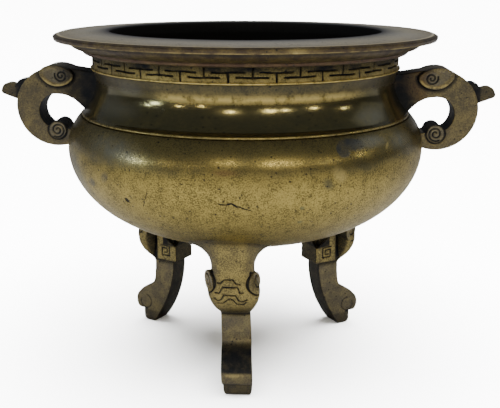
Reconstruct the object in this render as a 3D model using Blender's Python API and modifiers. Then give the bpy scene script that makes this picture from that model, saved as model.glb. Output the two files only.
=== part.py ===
"""Bronze tripod incense burner, cast in one piece.

A round, hollow vessel with a broad flat rim stands on three short cabriole legs.
Two scroll handles rise from its belly to its neck. The legs stand at the front and
at a third of a turn to either side of it, and the handles are to the left and right.
The origin is on the floor, on the vessel's axis. Sizes are in metres, +Z is up.
"""

import math

import bmesh
import bpy
from mathutils import Matrix, Vector

# Heights of the vessel's zones, stacked from the floor to the rim
BELLY_LIFT = 0.0687
BELLY_LOWER = 0.0487
BELLY_UPPER = 0.0191
SHOULDER_HEIGHT = 0.0224
BAND_HEIGHT = 0.0082
MOULDING_HEIGHT = 0.0063
RIM_THICKNESS = 0.0034
RIM_RISE = 0.0012

# Radii of the vessel
RIM_RADIUS = 0.1000
RIM_BEVEL = 0.0026
OPENING_RADIUS = 0.0711
MOULDING_RADIUS = 0.0934
MOULDING_FOOT_RADIUS = 0.0846
NECK_RADIUS = 0.0807
BAND_FILLET = 0.0009
WAIST_RADIUS = 0.0790
WAIST_DROP = 0.0070
SHOULDER_RADIUS = 0.0862
RIDGE_RADIUS = 0.0870
RIDGE_HEIGHT = 0.0014
BELLY_RADIUS = 0.0949

# How round the belly is above and below its widest place
BELLY_NARROWING = 0.0083
UPPER_BEND = 2.352
UPPER_SHARPNESS = 1.30
LOWER_BEND = 1.883
LOWER_SHARPNESS = 2.772

# Walls of the casting
WALL = 0.0045
LIP_HEIGHT = 0.0060

# Key fret cut into the neck band
FRET_REPEATS = 23
FRET_START = math.radians(-92.6)
FRET_LINE = 0.0009
FRET_DEPTH = 0.0007
FRET_BAR = 0.0146
FRET_EDGE = 0.0008
FRET_BAR_DROP = 0.0022

# Legs, in a leg's own upright plane: out from the vessel's axis, and up from the floor.
# The casting isn't quite even: each leg has its own direction and sideways lean.
LEG_DIRECTIONS = (math.radians(-90.0), math.radians(31.2), math.radians(151.2))
LEG_LEANS = (-0.040, 0.0, 0.0)
SHAFT_WIDTH = 0.0152
SHAFT_INNER_WIDTH = 0.0118
FOOT_WIDTH = 0.0142
SHAFT_OUTER = 0.0586
SHAFT_INNER = 0.0463
SHAFT_TOP = 0.0405
FOOT_INNER = 0.0612
FOOT_OUTER = 0.0683
FOOT_CORNER = 0.0022
TOE_OUT = 0.0655
TOE_HEIGHT = 0.0128
TOE_RADIUS = 0.0082
TOE_NOTCH_HEIGHT = 0.0077
COLLAR_WIDTH = 0.0160
COLLAR_INNER = 0.0428
COLLAR_OUTER = 0.0564
COLLAR_BOTTOM = 0.0418
COLLAR_NOTCH_HEIGHT = 0.0094
COLLAR_NOTCH_DEPTH = 0.0060
SIDE_GROOVE_DEPTH = 0.0026
KNEE_WIDTH = 0.0262
KNEE_FRONT = 0.0700
KNEE_BACK = 0.0586
KNEE_HEIGHT = 0.0562
KNEE_WAIST_HEIGHT = 0.0430
KNEE_BOTTOM = 0.0378
NECK_WIDTH = 0.0214
NECK_HEIGHT = 0.0660
LEG_FILLET = 0.0112
LEG_BACK_FILLET = 0.0040
EAR_RADIUS = 0.0049
EAR_SPAN = 0.0277
EAR_OUT = 0.0632
EAR_HEIGHT = 0.0590

# Handles, in the upright plane through both of them
HANDLE_THICKNESS = 0.0165
HANDLE_STANDOFF = 0.0065
HANDLE_RISE = 0.0010
SCROLL_RADIUS = 0.0216
SCROLL_RISE = 0.0207
EYE_RADIUS = 0.0093
EYE_DROP = 0.0028
HANDLE_TOP = 0.0207
HANDLE_ROOT_DROP = 0.0030
ROLL_RADIUS = 0.0048
ROLL_DROP = 0.0130
ROLL_RELIEF = 0.0007
BROW_LENGTH = 0.0190
BROW_HEIGHT = 0.0106
BROW_UP = 0.0161
BROW_INWARD = 0.0011
BROW_RELIEF = 0.0019
HORN_THICKNESS = 0.0092
HORN_LENGTH = 0.0310

LATHE_STEPS = 40
KNEE_SIDES = 12
FILLET_RINGS = 3
BEVEL_STEPS = 2
MERGE = 0.00001
SMOOTH_ANGLE = math.radians(35)

BRONZE_COLOUR = (0.165, 0.125, 0.050, 1.0)
BRONZE_ROUGHNESS = 0.42
BRONZE_METALLIC = 0.90

# Sizes that follow from the ones above
BELLY_TOP_RADIUS = BELLY_RADIUS - BELLY_NARROWING
EQUATOR_Z = BELLY_LIFT + BELLY_LOWER
RIDGE_Z = EQUATOR_Z + BELLY_UPPER
BAND_Z = RIDGE_Z + SHOULDER_HEIGHT
MOULDING_Z = BAND_Z + BAND_HEIGHT
RIM_Z = MOULDING_Z + MOULDING_HEIGHT
RIM_TOP_Z = RIM_Z + RIM_THICKNESS
LIP_Z = RIM_TOP_Z + RIM_RISE


def clear_scene():
    for obj in list(bpy.data.objects):
        bpy.data.objects.remove(obj, do_unlink=True)


def new_collection(name):
    collection = bpy.data.collections.new(name)
    bpy.context.scene.collection.children.link(collection)
    return collection


def add_object(name, mesh, collection):
    obj = bpy.data.objects.new(name, mesh)
    collection.objects.link(obj)
    return obj


def add_tool(name, mesh):
    """A shape that is only joined to or cut from the casting."""
    obj = add_object(name, mesh, TOOLS)
    obj.hide_render = True
    obj.display_type = "WIRE"
    return obj


def finished_mesh(obj):
    """The object's mesh with its modifiers applied."""
    depsgraph = bpy.context.evaluated_depsgraph_get()
    return bpy.data.meshes.new_from_object(obj.evaluated_get(depsgraph))


def mesh_from(name, bm):
    bmesh.ops.recalc_face_normals(bm, faces=bm.faces)
    mesh = bpy.data.meshes.new(name)
    bm.to_mesh(mesh)
    bm.free()
    return mesh


def combine(obj, tool, operation):
    """Join a tool to the object or cut it away, as a live Boolean."""
    modifier = obj.modifiers.new(tool.name, "BOOLEAN")
    modifier.object = tool
    modifier.operation = operation
    modifier.solver = "EXACT"


def add_bevel(obj, width):
    modifier = obj.modifiers.new("Rounded edges", "BEVEL")
    modifier.width = width
    modifier.segments = BEVEL_STEPS
    modifier.limit_method = "ANGLE"
    modifier.angle_limit = SMOOTH_ANGLE


def turned(name, profile):
    """A solid of revolution from points that run down its outer side."""
    bm = bmesh.new()
    verts = [bm.verts.new((radius, 0.0, height)) for radius, height in profile]
    for upper, lower in zip(verts, verts[1:]):
        bm.edges.new((upper, lower))
    mesh = bpy.data.meshes.new(name)
    bm.to_mesh(mesh)
    bm.free()
    obj = add_tool(name, mesh)
    screw = obj.modifiers.new("Turn", "SCREW")
    screw.steps = LATHE_STEPS
    screw.render_steps = LATHE_STEPS
    screw.use_merge_vertices = True
    screw.merge_threshold = MERGE
    return obj


def slab(name, outline, thickness):
    """A flat outline in the X-Z plane, made as thick as asked along Y."""
    curve = bpy.data.curves.new(name, "CURVE")
    curve.dimensions = "2D"
    curve.fill_mode = "BOTH"
    curve.extrude = thickness / 2
    spline = curve.splines.new("POLY")
    spline.points.add(len(outline) - 1)
    for point, (across, up) in zip(spline.points, outline):
        point.co = (across, up, 0.0, 1.0)
    spline.use_cyclic_u = True
    guide = bpy.data.objects.new(name, curve)
    TOOLS.objects.link(guide)
    mesh = finished_mesh(guide)
    bpy.data.objects.remove(guide)
    bm = bmesh.new()
    bm.from_mesh(mesh)
    bmesh.ops.remove_doubles(bm, verts=bm.verts, dist=MERGE)
    bmesh.ops.rotate(bm, verts=bm.verts, cent=(0, 0, 0), matrix=Matrix.Rotation(math.pi / 2, 3, "X"))
    return add_tool(name, mesh_from(name, bm))


def disc(name, centre, radius, thickness, sides):
    """A round roll whose axis runs along Y."""
    bm = bmesh.new()
    place = Matrix.Translation((centre[0], 0.0, centre[1])) @ Matrix.Rotation(math.pi / 2, 4, "X")
    bmesh.ops.create_cone(bm, cap_ends=True, segments=sides, radius1=radius, radius2=radius,
                          depth=thickness, matrix=place)
    return add_tool(name, mesh_from(name, bm))


def block(name, low, high):
    """A box between two corners."""
    low, high = Vector(low), Vector(high)
    bm = bmesh.new()
    place = Matrix.Translation((low + high) / 2) @ Matrix.Diagonal((*(high - low), 1.0))
    bmesh.ops.create_cube(bm, size=1.0, matrix=place)
    return add_tool(name, mesh_from(name, bm))


def loft(name, rings):
    """A closed skin over rings of equally many points, for sections that are unlike."""
    bm = bmesh.new()
    loops = [[bm.verts.new(point) for point in ring] for ring in rings]
    count = len(loops[0])
    for lower, upper in zip(loops, loops[1:]):
        for index in range(count):
            after = (index + 1) % count
            bm.faces.new((lower[index], lower[after], upper[after], upper[index]))
    bm.faces.new(loops[0])
    bm.faces.new(loops[-1])
    return add_tool(name, mesh_from(name, bm))


def arc(centre, radius, start, end, steps):
    """Points along an arc, with its angles in degrees."""
    points = []
    for step in range(steps + 1):
        angle = math.radians(start + (end - start) * step / steps)
        points.append((centre[0] + radius * math.cos(angle), centre[1] + radius * math.sin(angle)))
    return points


def ease(share):
    """Runs from 0 to 1 with a level start and end."""
    share = min(max(share, 0.0), 1.0)
    return share * share * (3 - 2 * share)


def upper_belly(radius, top_radius, steps):
    """From the ridge down to the widest place, which is left out."""
    narrowing = 1 - (top_radius / radius) ** UPPER_SHARPNESS
    reach = BELLY_UPPER / narrowing ** (1 / UPPER_BEND)
    points = []
    for step in range(steps):
        height = BELLY_UPPER * (1 - step / steps)
        bulge = (1 - (height / reach) ** UPPER_BEND) ** (1 / UPPER_SHARPNESS)
        points.append((radius * bulge, EQUATOR_Z + height))
    return points


def lower_belly(radius, drop, steps):
    """From the widest place down to the middle of the underside."""
    points = []
    for step in range(steps + 1):
        angle = math.pi / 2 * step / steps
        depth = drop * math.sin(angle) ** (2 / LOWER_BEND)
        width = radius * max(math.cos(angle), 0.0) ** (2 / LOWER_SHARPNESS)
        points.append((width if step < steps else 0.0, EQUATOR_Z - depth))
    return points


def shoulder(outer, waist, top, steps):
    """The hollow curve from under the band, in to the waist and out to the ridge."""
    waist_z = BAND_Z - WAIST_DROP
    points = [(top, BAND_Z), (waist + (top - waist) / 4, BAND_Z - WAIST_DROP / 2), (waist, waist_z)]
    for step in range(1, steps + 1):
        share = step / steps
        points.append((waist + (outer - waist) * share ** 1.9, waist_z - (waist_z - RIDGE_Z) * share))
    return points


def vessel_profile():
    """The outside of the vessel, from the middle of its top down to the middle below."""
    bevel_z = RIM_TOP_Z + RIM_RISE / 4
    points = [(0.0, LIP_Z), (OPENING_RADIUS, LIP_Z), (RIM_RADIUS - RIM_BEVEL, bevel_z)]
    points += [(RIM_RADIUS, RIM_TOP_Z - RIM_THICKNESS / 6), (RIM_RADIUS - RIM_BEVEL / 4, RIM_Z + RIM_THICKNESS / 5)]
    points += [(MOULDING_RADIUS, RIM_Z + RIM_THICKNESS / 5)]
    reach, fall = MOULDING_RADIUS - MOULDING_FOOT_RADIUS, MOULDING_HEIGHT
    for across, down in arc((0.0, 0.0), 1.0, 0, 90, 4):
        points.append((MOULDING_FOOT_RADIUS + reach * across, RIM_Z - fall * down))
    points += [(NECK_RADIUS, MOULDING_Z), (NECK_RADIUS, BAND_Z + BAND_FILLET)]
    points += [(NECK_RADIUS + BAND_FILLET, BAND_Z + BAND_FILLET / 2)]
    points += shoulder(SHOULDER_RADIUS, WAIST_RADIUS, NECK_RADIUS, 5)
    points += [(RIDGE_RADIUS, RIDGE_Z), (RIDGE_RADIUS, RIDGE_Z - RIDGE_HEIGHT / 2)]
    belly = upper_belly(BELLY_RADIUS, BELLY_TOP_RADIUS, 5)
    points += [(BELLY_TOP_RADIUS, RIDGE_Z - RIDGE_HEIGHT)] + belly[1:]
    points += lower_belly(BELLY_RADIUS, BELLY_LOWER, 9)
    return points


def cavity_profile():
    """The hollow inside, one wall in from the outside and open through the rim."""
    points = [(0.0, LIP_Z + LIP_HEIGHT), (OPENING_RADIUS, LIP_Z + LIP_HEIGHT)]
    points += [(OPENING_RADIUS, LIP_Z - LIP_HEIGHT), (NECK_RADIUS - WALL, MOULDING_Z - WALL / 2)]
    points += shoulder(SHOULDER_RADIUS - WALL, WAIST_RADIUS - WALL, NECK_RADIUS - WALL, 3)
    points += upper_belly(BELLY_RADIUS - WALL, BELLY_TOP_RADIUS - WALL, 3)[1:]
    points += lower_belly(BELLY_RADIUS - WALL, BELLY_LOWER - WALL, 6)
    return points


def fret_cutter():
    """Upright and hanging T strokes by turns, wrapped round the neck band."""
    bm = bmesh.new()
    low, high = BAND_Z + BAND_FILLET + FRET_EDGE, MOULDING_Z - FRET_EDGE
    turn = 2 * math.pi / FRET_REPEATS
    across = (-FRET_BAR / 2, -FRET_LINE / 2, FRET_LINE / 2, FRET_BAR / 2)
    for index in range(2 * FRET_REPEATS):
        hanging = index % 2 == 1
        bar = MOULDING_Z - FRET_BAR_DROP - FRET_LINE if not hanging else BAND_Z + BAND_FILLET + FRET_BAR_DROP
        stem = (low, bar) if not hanging else (bar + FRET_LINE, high)
        angle = FRET_START + turn * index / 2
        bars = [[bm.verts.new((x, angle, z)) for x in across] for z in (bar, bar + FRET_LINE)]
        faces = [bm.faces.new((bars[0][k], bars[0][k + 1], bars[1][k + 1], bars[1][k])) for k in range(3)]
        free, root = (stem[0], bars[0]) if not hanging else (stem[1], bars[1])
        ends = [bm.verts.new((x, angle, free)) for x in across[1:3]]
        faces.append(bm.faces.new((ends[0], ends[1], root[2], root[1])))
        bmesh.ops.recalc_face_normals(bm, faces=faces)
        back = bmesh.ops.extrude_face_region(bm, geom=faces, use_keep_orig=True)["geom"]
        outer = {item for item in back if isinstance(item, bmesh.types.BMVert)}
        stroke = {vert for face in faces for vert in face.verts} | outer
        for vert in stroke:
            radius = NECK_RADIUS + FRET_DEPTH if vert in outer else NECK_RADIUS - FRET_DEPTH
            turned_to = vert.co.y + vert.co.x / NECK_RADIUS
            vert.co = (radius * math.cos(turned_to), radius * math.sin(turned_to), vert.co.z)
    return add_tool("fret_cutter", mesh_from("fret_cutter", bm))


def leg_side_outline():
    """The shaft, curled toe and foot seen from the side, with the inner edge bowed outward."""
    inner = []
    for step in range(9):
        share = step / 8
        inner.append((SHAFT_INNER + (FOOT_INNER - SHAFT_INNER) * share ** 2, SHAFT_TOP * (1 - share)))
    toe = arc((TOE_OUT, TOE_HEIGHT), TOE_RADIUS, -36, 104, 7)
    bend = TOE_HEIGHT + TOE_RADIUS + SHAFT_WIDTH / 4
    outline = [(SHAFT_INNER, NECK_HEIGHT)] + inner
    outline += [(FOOT_OUTER - FOOT_CORNER, 0.0), (FOOT_OUTER, FOOT_CORNER), (FOOT_OUTER, TOE_NOTCH_HEIGHT)]
    outline += toe + [(SHAFT_OUTER + FOOT_CORNER, bend), (SHAFT_OUTER, bend + TOE_RADIUS)]
    return outline + [(SHAFT_OUTER, NECK_HEIGHT)]


def knee_front(height):
    """How far out the front of the knee is at a height."""
    fall = min(max((KNEE_HEIGHT - height) / (KNEE_HEIGHT - KNEE_BOTTOM), 0.0), 1.0)
    return SHAFT_OUTER + (KNEE_FRONT - SHAFT_OUTER) * (1 - fall ** 2.2) ** 0.8


def knee_half_width(height):
    """Half the width of the knee, widest at its middle and narrower at its neck and foot."""
    if height < KNEE_HEIGHT:
        share = max((height - KNEE_WAIST_HEIGHT) / (KNEE_HEIGHT - KNEE_WAIST_HEIGHT), 0.0)
        return (SHAFT_WIDTH + (KNEE_WIDTH - SHAFT_WIDTH) * (1 - (1 - share) ** 2)) / 2
    share = ease((height - KNEE_HEIGHT) / (NECK_HEIGHT - KNEE_HEIGHT))
    return (KNEE_WIDTH + (NECK_WIDTH - KNEE_WIDTH) * share) / 2


def knee_section(height):
    """The rounded rectangle of the knee at a height."""
    front, half_width = knee_front(height), knee_half_width(height)
    middle, reach = (front + KNEE_BACK) / 2, (front - KNEE_BACK) / 2
    section = []
    for side in range(KNEE_SIDES):
        angle = 2 * math.pi * (side + 0.5) / KNEE_SIDES
        x, y = math.cos(angle), math.sin(angle)
        section.append(Vector((middle + reach * math.copysign(abs(x) ** 0.82, x),
                               half_width * math.copysign(abs(y) ** 0.82, y), height)))
    return section


def belly_height(radius):
    """Height of the outside of the belly's lower half at a radius."""
    share = min(radius / BELLY_RADIUS, 1.0)
    return EQUATOR_Z - BELLY_LOWER * (1 - share ** LOWER_SHARPNESS) ** (1 / LOWER_BEND)


def fillet_column(foot, middle):
    """Points of a round fillet from an upright edge of the neck out onto the belly."""
    outward = Vector((foot.x - middle, foot.y, 0.0)).normalized()
    radius = LEG_BACK_FILLET + (LEG_FILLET - LEG_BACK_FILLET) * min((1 + outward.x) / 0.9, 1.0)
    step = 0.001
    meets = belly_height(foot.xy.length)
    rise = (belly_height((foot + outward * step).xy.length) - meets) / step
    sweep = math.pi / 2 - math.atan(rise)
    start = meets - radius * math.tan(sweep / 2)
    column = []
    for index in range(FILLET_RINGS + 1):
        angle = sweep * index / FILLET_RINGS
        point = foot + outward * radius * (1 - math.cos(angle))
        column.append(Vector((point.x, point.y, start + radius * math.sin(angle))))
    return column + [Vector((column[-1].x, column[-1].y, EQUATOR_Z))]


def knee():
    """The rounded knee and neck, with a round flare where the neck meets the belly."""
    rings = []
    for share in (0.0, 0.10, 0.26, 0.44, 0.68, 1.0):
        rings.append(knee_section(KNEE_BOTTOM + (KNEE_HEIGHT - KNEE_BOTTOM) * share))
    rings.append(knee_section((KNEE_HEIGHT + NECK_HEIGHT) / 2))
    neck = knee_section(NECK_HEIGHT)
    middle = (KNEE_FRONT + KNEE_BACK) / 2
    rings += list(zip(*[fillet_column(foot, middle) for foot in neck]))
    return loft("knee", rings)


def collar():
    """The squared block on the inner side of the knee, notched at its inner upper corners."""
    top = EQUATOR_Z - BELLY_LOWER / 2
    half = COLLAR_WIDTH / 2
    body = block("collar", (COLLAR_INNER, -half, COLLAR_BOTTOM), (COLLAR_OUTER, half, top))
    size = top - COLLAR_BOTTOM - COLLAR_NOTCH_HEIGHT
    for side in (-1, 1):
        bm = bmesh.new()
        bmesh.ops.create_cube(bm, size=1.0, matrix=Matrix.Diagonal((2 * COLLAR_NOTCH_DEPTH, size, size, 1.0)))
        corner = Matrix.Translation((COLLAR_INNER, side * half, COLLAR_BOTTOM + COLLAR_NOTCH_HEIGHT + size * math.sqrt(0.5)))
        turned_to = corner @ Matrix.Rotation(-side * math.pi / 4, 4, "Z") @ Matrix.Rotation(math.pi / 4, 4, "X")
        bm.transform(turned_to)
        combine(body, add_tool("collar_notch", mesh_from("collar_notch", bm)), "DIFFERENCE")
    return body


def leg_mesh():
    """One whole leg, standing out along +X."""
    leg = slab("leg", leg_side_outline(), SHAFT_WIDTH)
    for vert in leg.data.vertices:
        inward = min(max((SHAFT_OUTER - vert.co.x) / (SHAFT_OUTER - SHAFT_INNER), 0.0), 1.0)
        foot = 1 - ease(vert.co.z / TOE_HEIGHT)
        vert.co.y *= 1 - (1 - SHAFT_INNER_WIDTH / SHAFT_WIDTH) * inward - (1 - FOOT_WIDTH / SHAFT_WIDTH) * foot
    for side in (-1, 1):
        floor = side * (SHAFT_WIDTH / 2 - SIDE_GROOVE_DEPTH)
        outside = side * KNEE_WIDTH
        low = (COLLAR_OUTER, min(floor, outside), COLLAR_BOTTOM + 0.0010)
        high = (KNEE_BACK, max(floor, outside), EQUATOR_Z)
        combine(leg, block("side_groove", low, high), "DIFFERENCE")
    combine(leg, collar(), "UNION")
    combine(leg, knee(), "UNION")
    ears = disc("ears", (EAR_OUT, EAR_HEIGHT), EAR_RADIUS, EAR_SPAN, 14)
    add_bevel(ears, EAR_RADIUS / 4)
    combine(leg, ears, "UNION")
    return finished_mesh(leg)


def leg_placement(direction, lean):
    """Lean a leg sideways and swing it to its place."""
    leaned = Matrix.Identity(4)
    leaned[1][2] = lean
    return Matrix.Rotation(direction, 4, "Z") @ leaned


def handle_centre():
    return (BELLY_RADIUS + HANDLE_STANDOFF, RIDGE_Z + HANDLE_RISE)


def handle_outline():
    """The C scroll seen from the front, with its ends inside the vessel's wall."""
    x, z = handle_centre()
    eye = (x, z - EYE_DROP)
    outline = [(WAIST_RADIUS - WALL, BAND_Z - HANDLE_ROOT_DROP), (x - 0.0112, z + HANDLE_TOP - 0.0014)]
    outline += [(x - 0.0044, z + HANDLE_TOP)]
    for across, up in arc((0.0, 0.0), 1.0, 70, -112, 14):
        outline.append((x + SCROLL_RADIUS * across, z + (SCROLL_RISE if up > 0 else SCROLL_RADIUS) * up))
    outline += [(x - 0.0094, z - 0.0180), (x - 0.0094, z - ROLL_DROP)]
    outline += arc(eye, EYE_RADIUS, -58, 96, 10)
    outline += [(x - 0.0062, z + 0.0058), (x - 0.0101, z + 0.0038), (x - 0.0144, z - 0.0004)]
    outline += [(BELLY_TOP_RADIUS - WALL / 2, z - 0.0034)]
    return outline


def horn_outline():
    """The two-lobed spur on the outer side of the scroll."""
    x, z = handle_centre()
    tip = x + HORN_LENGTH
    return [(x + 0.0140, z + 0.0118), (x + 0.0160, z + 0.0133), (x + 0.0184, z + 0.0138),
            (x + 0.0206, z + 0.0131), (x + 0.0228, z + 0.0111), (x + 0.0248, z + 0.0104),
            (tip - 0.0044, z + 0.0113), (tip - 0.0022, z + 0.0106), (tip, z + 0.0073),
            (tip - 0.0006, z + 0.0062), (x + 0.0200, z + 0.0022)]


def handle_mesh():
    """One whole handle, on the +X side."""
    x, z = handle_centre()
    handle = slab("handle", handle_outline(), HANDLE_THICKNESS)
    brow_middle = (x - BROW_INWARD, z + BROW_UP)
    brow_points = [(brow_middle[0] + BROW_LENGTH / 2 * across, brow_middle[1] + BROW_HEIGHT / 2 * up)
                   for across, up in arc((0.0, 0.0), 1.0, 0, 342, 19)]
    brow = slab("brow", brow_points, HANDLE_THICKNESS + 2 * BROW_RELIEF)
    add_bevel(brow, BROW_RELIEF * 0.8)
    combine(handle, brow, "UNION")
    roll = disc("roll", (x, z - ROLL_DROP), ROLL_RADIUS, HANDLE_THICKNESS + 2 * ROLL_RELIEF, 18)
    combine(handle, roll, "UNION")
    combine(handle, slab("horn", horn_outline(), HORN_THICKNESS), "UNION")
    return finished_mesh(handle)


def bronze():
    material = bpy.data.materials.new("bronze")
    material.use_nodes = True
    shader = material.node_tree.nodes["Principled BSDF"]
    shader.inputs["Base Color"].default_value = BRONZE_COLOUR
    shader.inputs["Roughness"].default_value = BRONZE_ROUGHNESS
    shader.inputs["Metallic"].default_value = BRONZE_METALLIC
    return material


def build():
    """Join handles and legs to the vessel, then hollow it and cut its fret."""
    casting = turned("casting", vessel_profile())
    legs, handles = leg_mesh(), handle_mesh()
    for index, (direction, lean) in enumerate(zip(LEG_DIRECTIONS, LEG_LEANS)):
        leg = add_tool(f"leg_{index + 1}", legs.copy())
        leg.data.transform(leg_placement(direction, lean))
        combine(casting, leg, "UNION")
    for index in range(2):
        handle = add_tool(f"handle_{index + 1}", handles)
        handle.rotation_euler.z = math.pi * index
        combine(casting, handle, "UNION")
    combine(casting, turned("cavity", cavity_profile()), "DIFFERENCE")
    combine(casting, fret_cutter(), "DIFFERENCE")
    mesh = finished_mesh(casting)
    mesh.materials.clear()
    mesh.materials.append(bronze())
    mesh.shade_smooth()
    mesh.set_sharp_from_angle(angle=SMOOTH_ANGLE)
    add_object("censer", mesh, PARTS)
    bpy.data.objects.remove(casting)


clear_scene()
PARTS = new_collection("incense_burner")
TOOLS = new_collection("tools")
build()
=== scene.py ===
# %% [markdown]
# # A bronze tripod incense burner
#
# The real burner is one bronze casting: a round bowl with a broad flat rim and a key-fret
# band round its neck, two scroll handles and three short curled legs. It has stood in smoke
# and been polished by hand, so its colour runs from brassy gold where hands reach to dark
# brown in every hollow.
#
# We could sculpt it as a single mesh. Instead each kind of form gets the way of making that
# suits it: what the founder turned is spun here, and what he carved is cut from rough blocks,
# melted together and then engraved. One bronze material runs over all of it, so it still
# reads as one casting.

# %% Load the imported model
from math import atan, ceil, copysign, cos, hypot, pi, radians, sin, tan

import bpy
import numpy as np
from mathutils import Matrix, Vector


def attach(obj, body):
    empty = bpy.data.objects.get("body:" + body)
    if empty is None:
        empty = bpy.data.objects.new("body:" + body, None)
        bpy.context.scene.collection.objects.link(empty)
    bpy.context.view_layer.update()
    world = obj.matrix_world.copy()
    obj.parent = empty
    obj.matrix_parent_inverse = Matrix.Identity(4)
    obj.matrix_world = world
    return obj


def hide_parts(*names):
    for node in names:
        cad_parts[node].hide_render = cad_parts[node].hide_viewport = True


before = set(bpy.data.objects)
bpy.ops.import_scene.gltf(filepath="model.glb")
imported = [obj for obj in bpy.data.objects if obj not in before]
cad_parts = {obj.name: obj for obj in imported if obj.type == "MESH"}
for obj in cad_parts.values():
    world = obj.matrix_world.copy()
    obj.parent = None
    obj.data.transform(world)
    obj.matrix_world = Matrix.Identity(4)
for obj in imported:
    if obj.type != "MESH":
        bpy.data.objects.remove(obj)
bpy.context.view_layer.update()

bpy.ops.object.select_all(action="DESELECT")
print("nodes:", list(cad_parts))

# %% [markdown]
# ## Small helpers
#
# An operator acts on whatever is selected, so every step first says clearly which object it
# means. Two more helpers read all the points of a mesh as one table of numbers and write them
# back, which is how a shape is eased or engraved without touching each point by hand.


# %% Pick an object, read and write its points
def pick(*objects):
    """Leave edit mode, then select just these objects, with the first one active."""
    if bpy.context.object and bpy.context.object.mode != "OBJECT":
        bpy.ops.object.mode_set(mode="OBJECT")
    bpy.ops.object.select_all(action="DESELECT")
    for obj in objects:
        obj.select_set(True)
    bpy.context.view_layer.objects.active = objects[0]


def edit(obj, mode="VERT"):
    """Enter edit mode on one object with everything selected."""
    pick(obj)
    bpy.ops.object.mode_set(mode="EDIT")
    bpy.ops.mesh.select_mode(type=mode)
    bpy.ops.mesh.select_all(action="SELECT")


def named(name):
    """Name the newest object, and its mesh."""
    obj = bpy.context.object
    obj.name = obj.data.name = name
    return obj


def read_points(obj):
    points = np.empty(3 * len(obj.data.vertices))
    obj.data.vertices.foreach_get("co", points)
    return points.reshape(-1, 3)


def write_points(obj, points):
    obj.data.vertices.foreach_set("co", points.ravel())
    obj.data.update()


def read_normals(obj):
    normals = np.empty(3 * len(obj.data.vertices))
    obj.data.vertex_normals.foreach_get("vector", normals)
    return normals.reshape(-1, 3)


def apply_modifier(obj, kind, **settings):
    """Add a modifier, set it up and apply it at once."""
    pick(obj)
    modifier = obj.modifiers.new(kind.title(), kind)
    for key, value in settings.items():
        setattr(modifier, key, value)
    bpy.ops.object.modifier_apply(modifier=modifier.name)


def ease(share):
    """Runs from 0 to 1 with a level start and end, for numbers or tables."""
    share = np.clip(share, 0.0, 1.0)
    return share * share * (3 - 2 * share)


def arc(centre, radius, start, end, steps):
    """Points along an arc, with its angles in degrees."""
    angles = np.radians(np.linspace(start, end, steps + 1))
    return [(centre[0] + radius * cos(a), centre[1] + radius * sin(a)) for a in angles]

# %% [markdown]
# ## The turned vessel
#
# The bowl is a solid of revolution. It could be a curve with a Screw modifier, but here its
# outline is drawn the way a founder's turning board was cut: a single point is extruded from
# step to step along the outline, up the outside, round the rim and down inside, and the line
# is then spun once round the axis. The corners of the outline are softened first, because no
# edge of a worn casting is sharp.

# %% Sizes of the vessel, in metres above the floor and out from the axis
EQUATOR_Z = 0.1174
BELLY_RADIUS = 0.0949
BELLY_LOWER = 0.0487
BELLY_UPPER = 0.0191
BELLY_TOP_RADIUS = 0.0866
LOWER_BEND, LOWER_SHARPNESS = 1.883, 2.772
UPPER_BEND, UPPER_SHARPNESS = 2.352, 1.3
RIDGE_Z = EQUATOR_Z + BELLY_UPPER
BAND_Z = RIDGE_Z + 0.0224
MOULDING_Z = BAND_Z + 0.0082
RIM_Z = MOULDING_Z + 0.0063
RIM_TOP_Z = RIM_Z + 0.0034
LIP_Z = RIM_TOP_Z + 0.0012
RIM_RADIUS = 0.1
OPENING_RADIUS = 0.0711
NECK_RADIUS = 0.0807
WAIST_RADIUS = 0.079
RIDGE_RADIUS = 0.087
SHOULDER_RADIUS = 0.0862
WALL = 0.0045
print("height of the lip, mm:", round(1000 * LIP_Z, 1))

# %% Curves of the belly and the shoulder
WAIST_Z = BAND_Z - 0.007
SHOULDER_HOLLOW = 1.9


def belly_height(radius):
    """Height of the outside of the belly's lower half at a radius, for numbers or tables."""
    share = np.clip(radius / BELLY_RADIUS, 0.0, 1.0)
    return EQUATOR_Z - BELLY_LOWER * (1 - share ** LOWER_SHARPNESS) ** (1 / LOWER_BEND)


def lower_belly(radius, drop, steps):
    """From the axis below up to the widest place."""
    points = [(0.0, EQUATOR_Z - drop)]
    for step in range(1, steps + 1):
        angle = pi / 2 * (1 - step / steps)
        depth = drop * sin(angle) ** (2 / LOWER_BEND)
        points.append((radius * cos(angle) ** (2 / LOWER_SHARPNESS), EQUATOR_Z - depth))
    return points


def upper_belly(radius, top_radius, steps):
    """From just over the widest place up to the ridge."""
    narrowing = 1 - (top_radius / radius) ** UPPER_SHARPNESS
    reach = BELLY_UPPER / narrowing ** (1 / UPPER_BEND)
    heights = np.linspace(0, BELLY_UPPER, steps + 1)[1:]
    return [(radius * (1 - (h / reach) ** UPPER_BEND) ** (1 / UPPER_SHARPNESS), EQUATOR_Z + h)
            for h in heights]


def shoulder(outer, waist, steps):
    """The hollow curve from the ridge in to the waist."""
    return [(waist + (outer - waist) * s ** SHOULDER_HOLLOW, WAIST_Z - (WAIST_Z - RIDGE_Z) * s)
            for s in np.linspace(1, 0, steps + 1)]


# %% Round the corners of an outline and give it more points
def softened(corners, steps=4):
    """Round each corner (across, up, softness) of an outline by its own small size."""
    points = [Vector(corners[0][:2])]
    for before, corner, after in zip(corners, corners[1:], corners[2:]):
        here = Vector(corner[:2])
        back, on = Vector(before[:2]) - here, Vector(after[:2]) - here
        first = here + back.normalized() * min(corner[2], back.length * 0.48)
        last = here + on.normalized() * min(corner[2], on.length * 0.48)
        for step in range(steps + 1):
            t = step / steps
            points.append(first * (1 - t) ** 2 + here * 2 * t * (1 - t) + last * t * t)
    return [tuple(p) for p in points + [Vector(corners[-1][:2])]]


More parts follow.
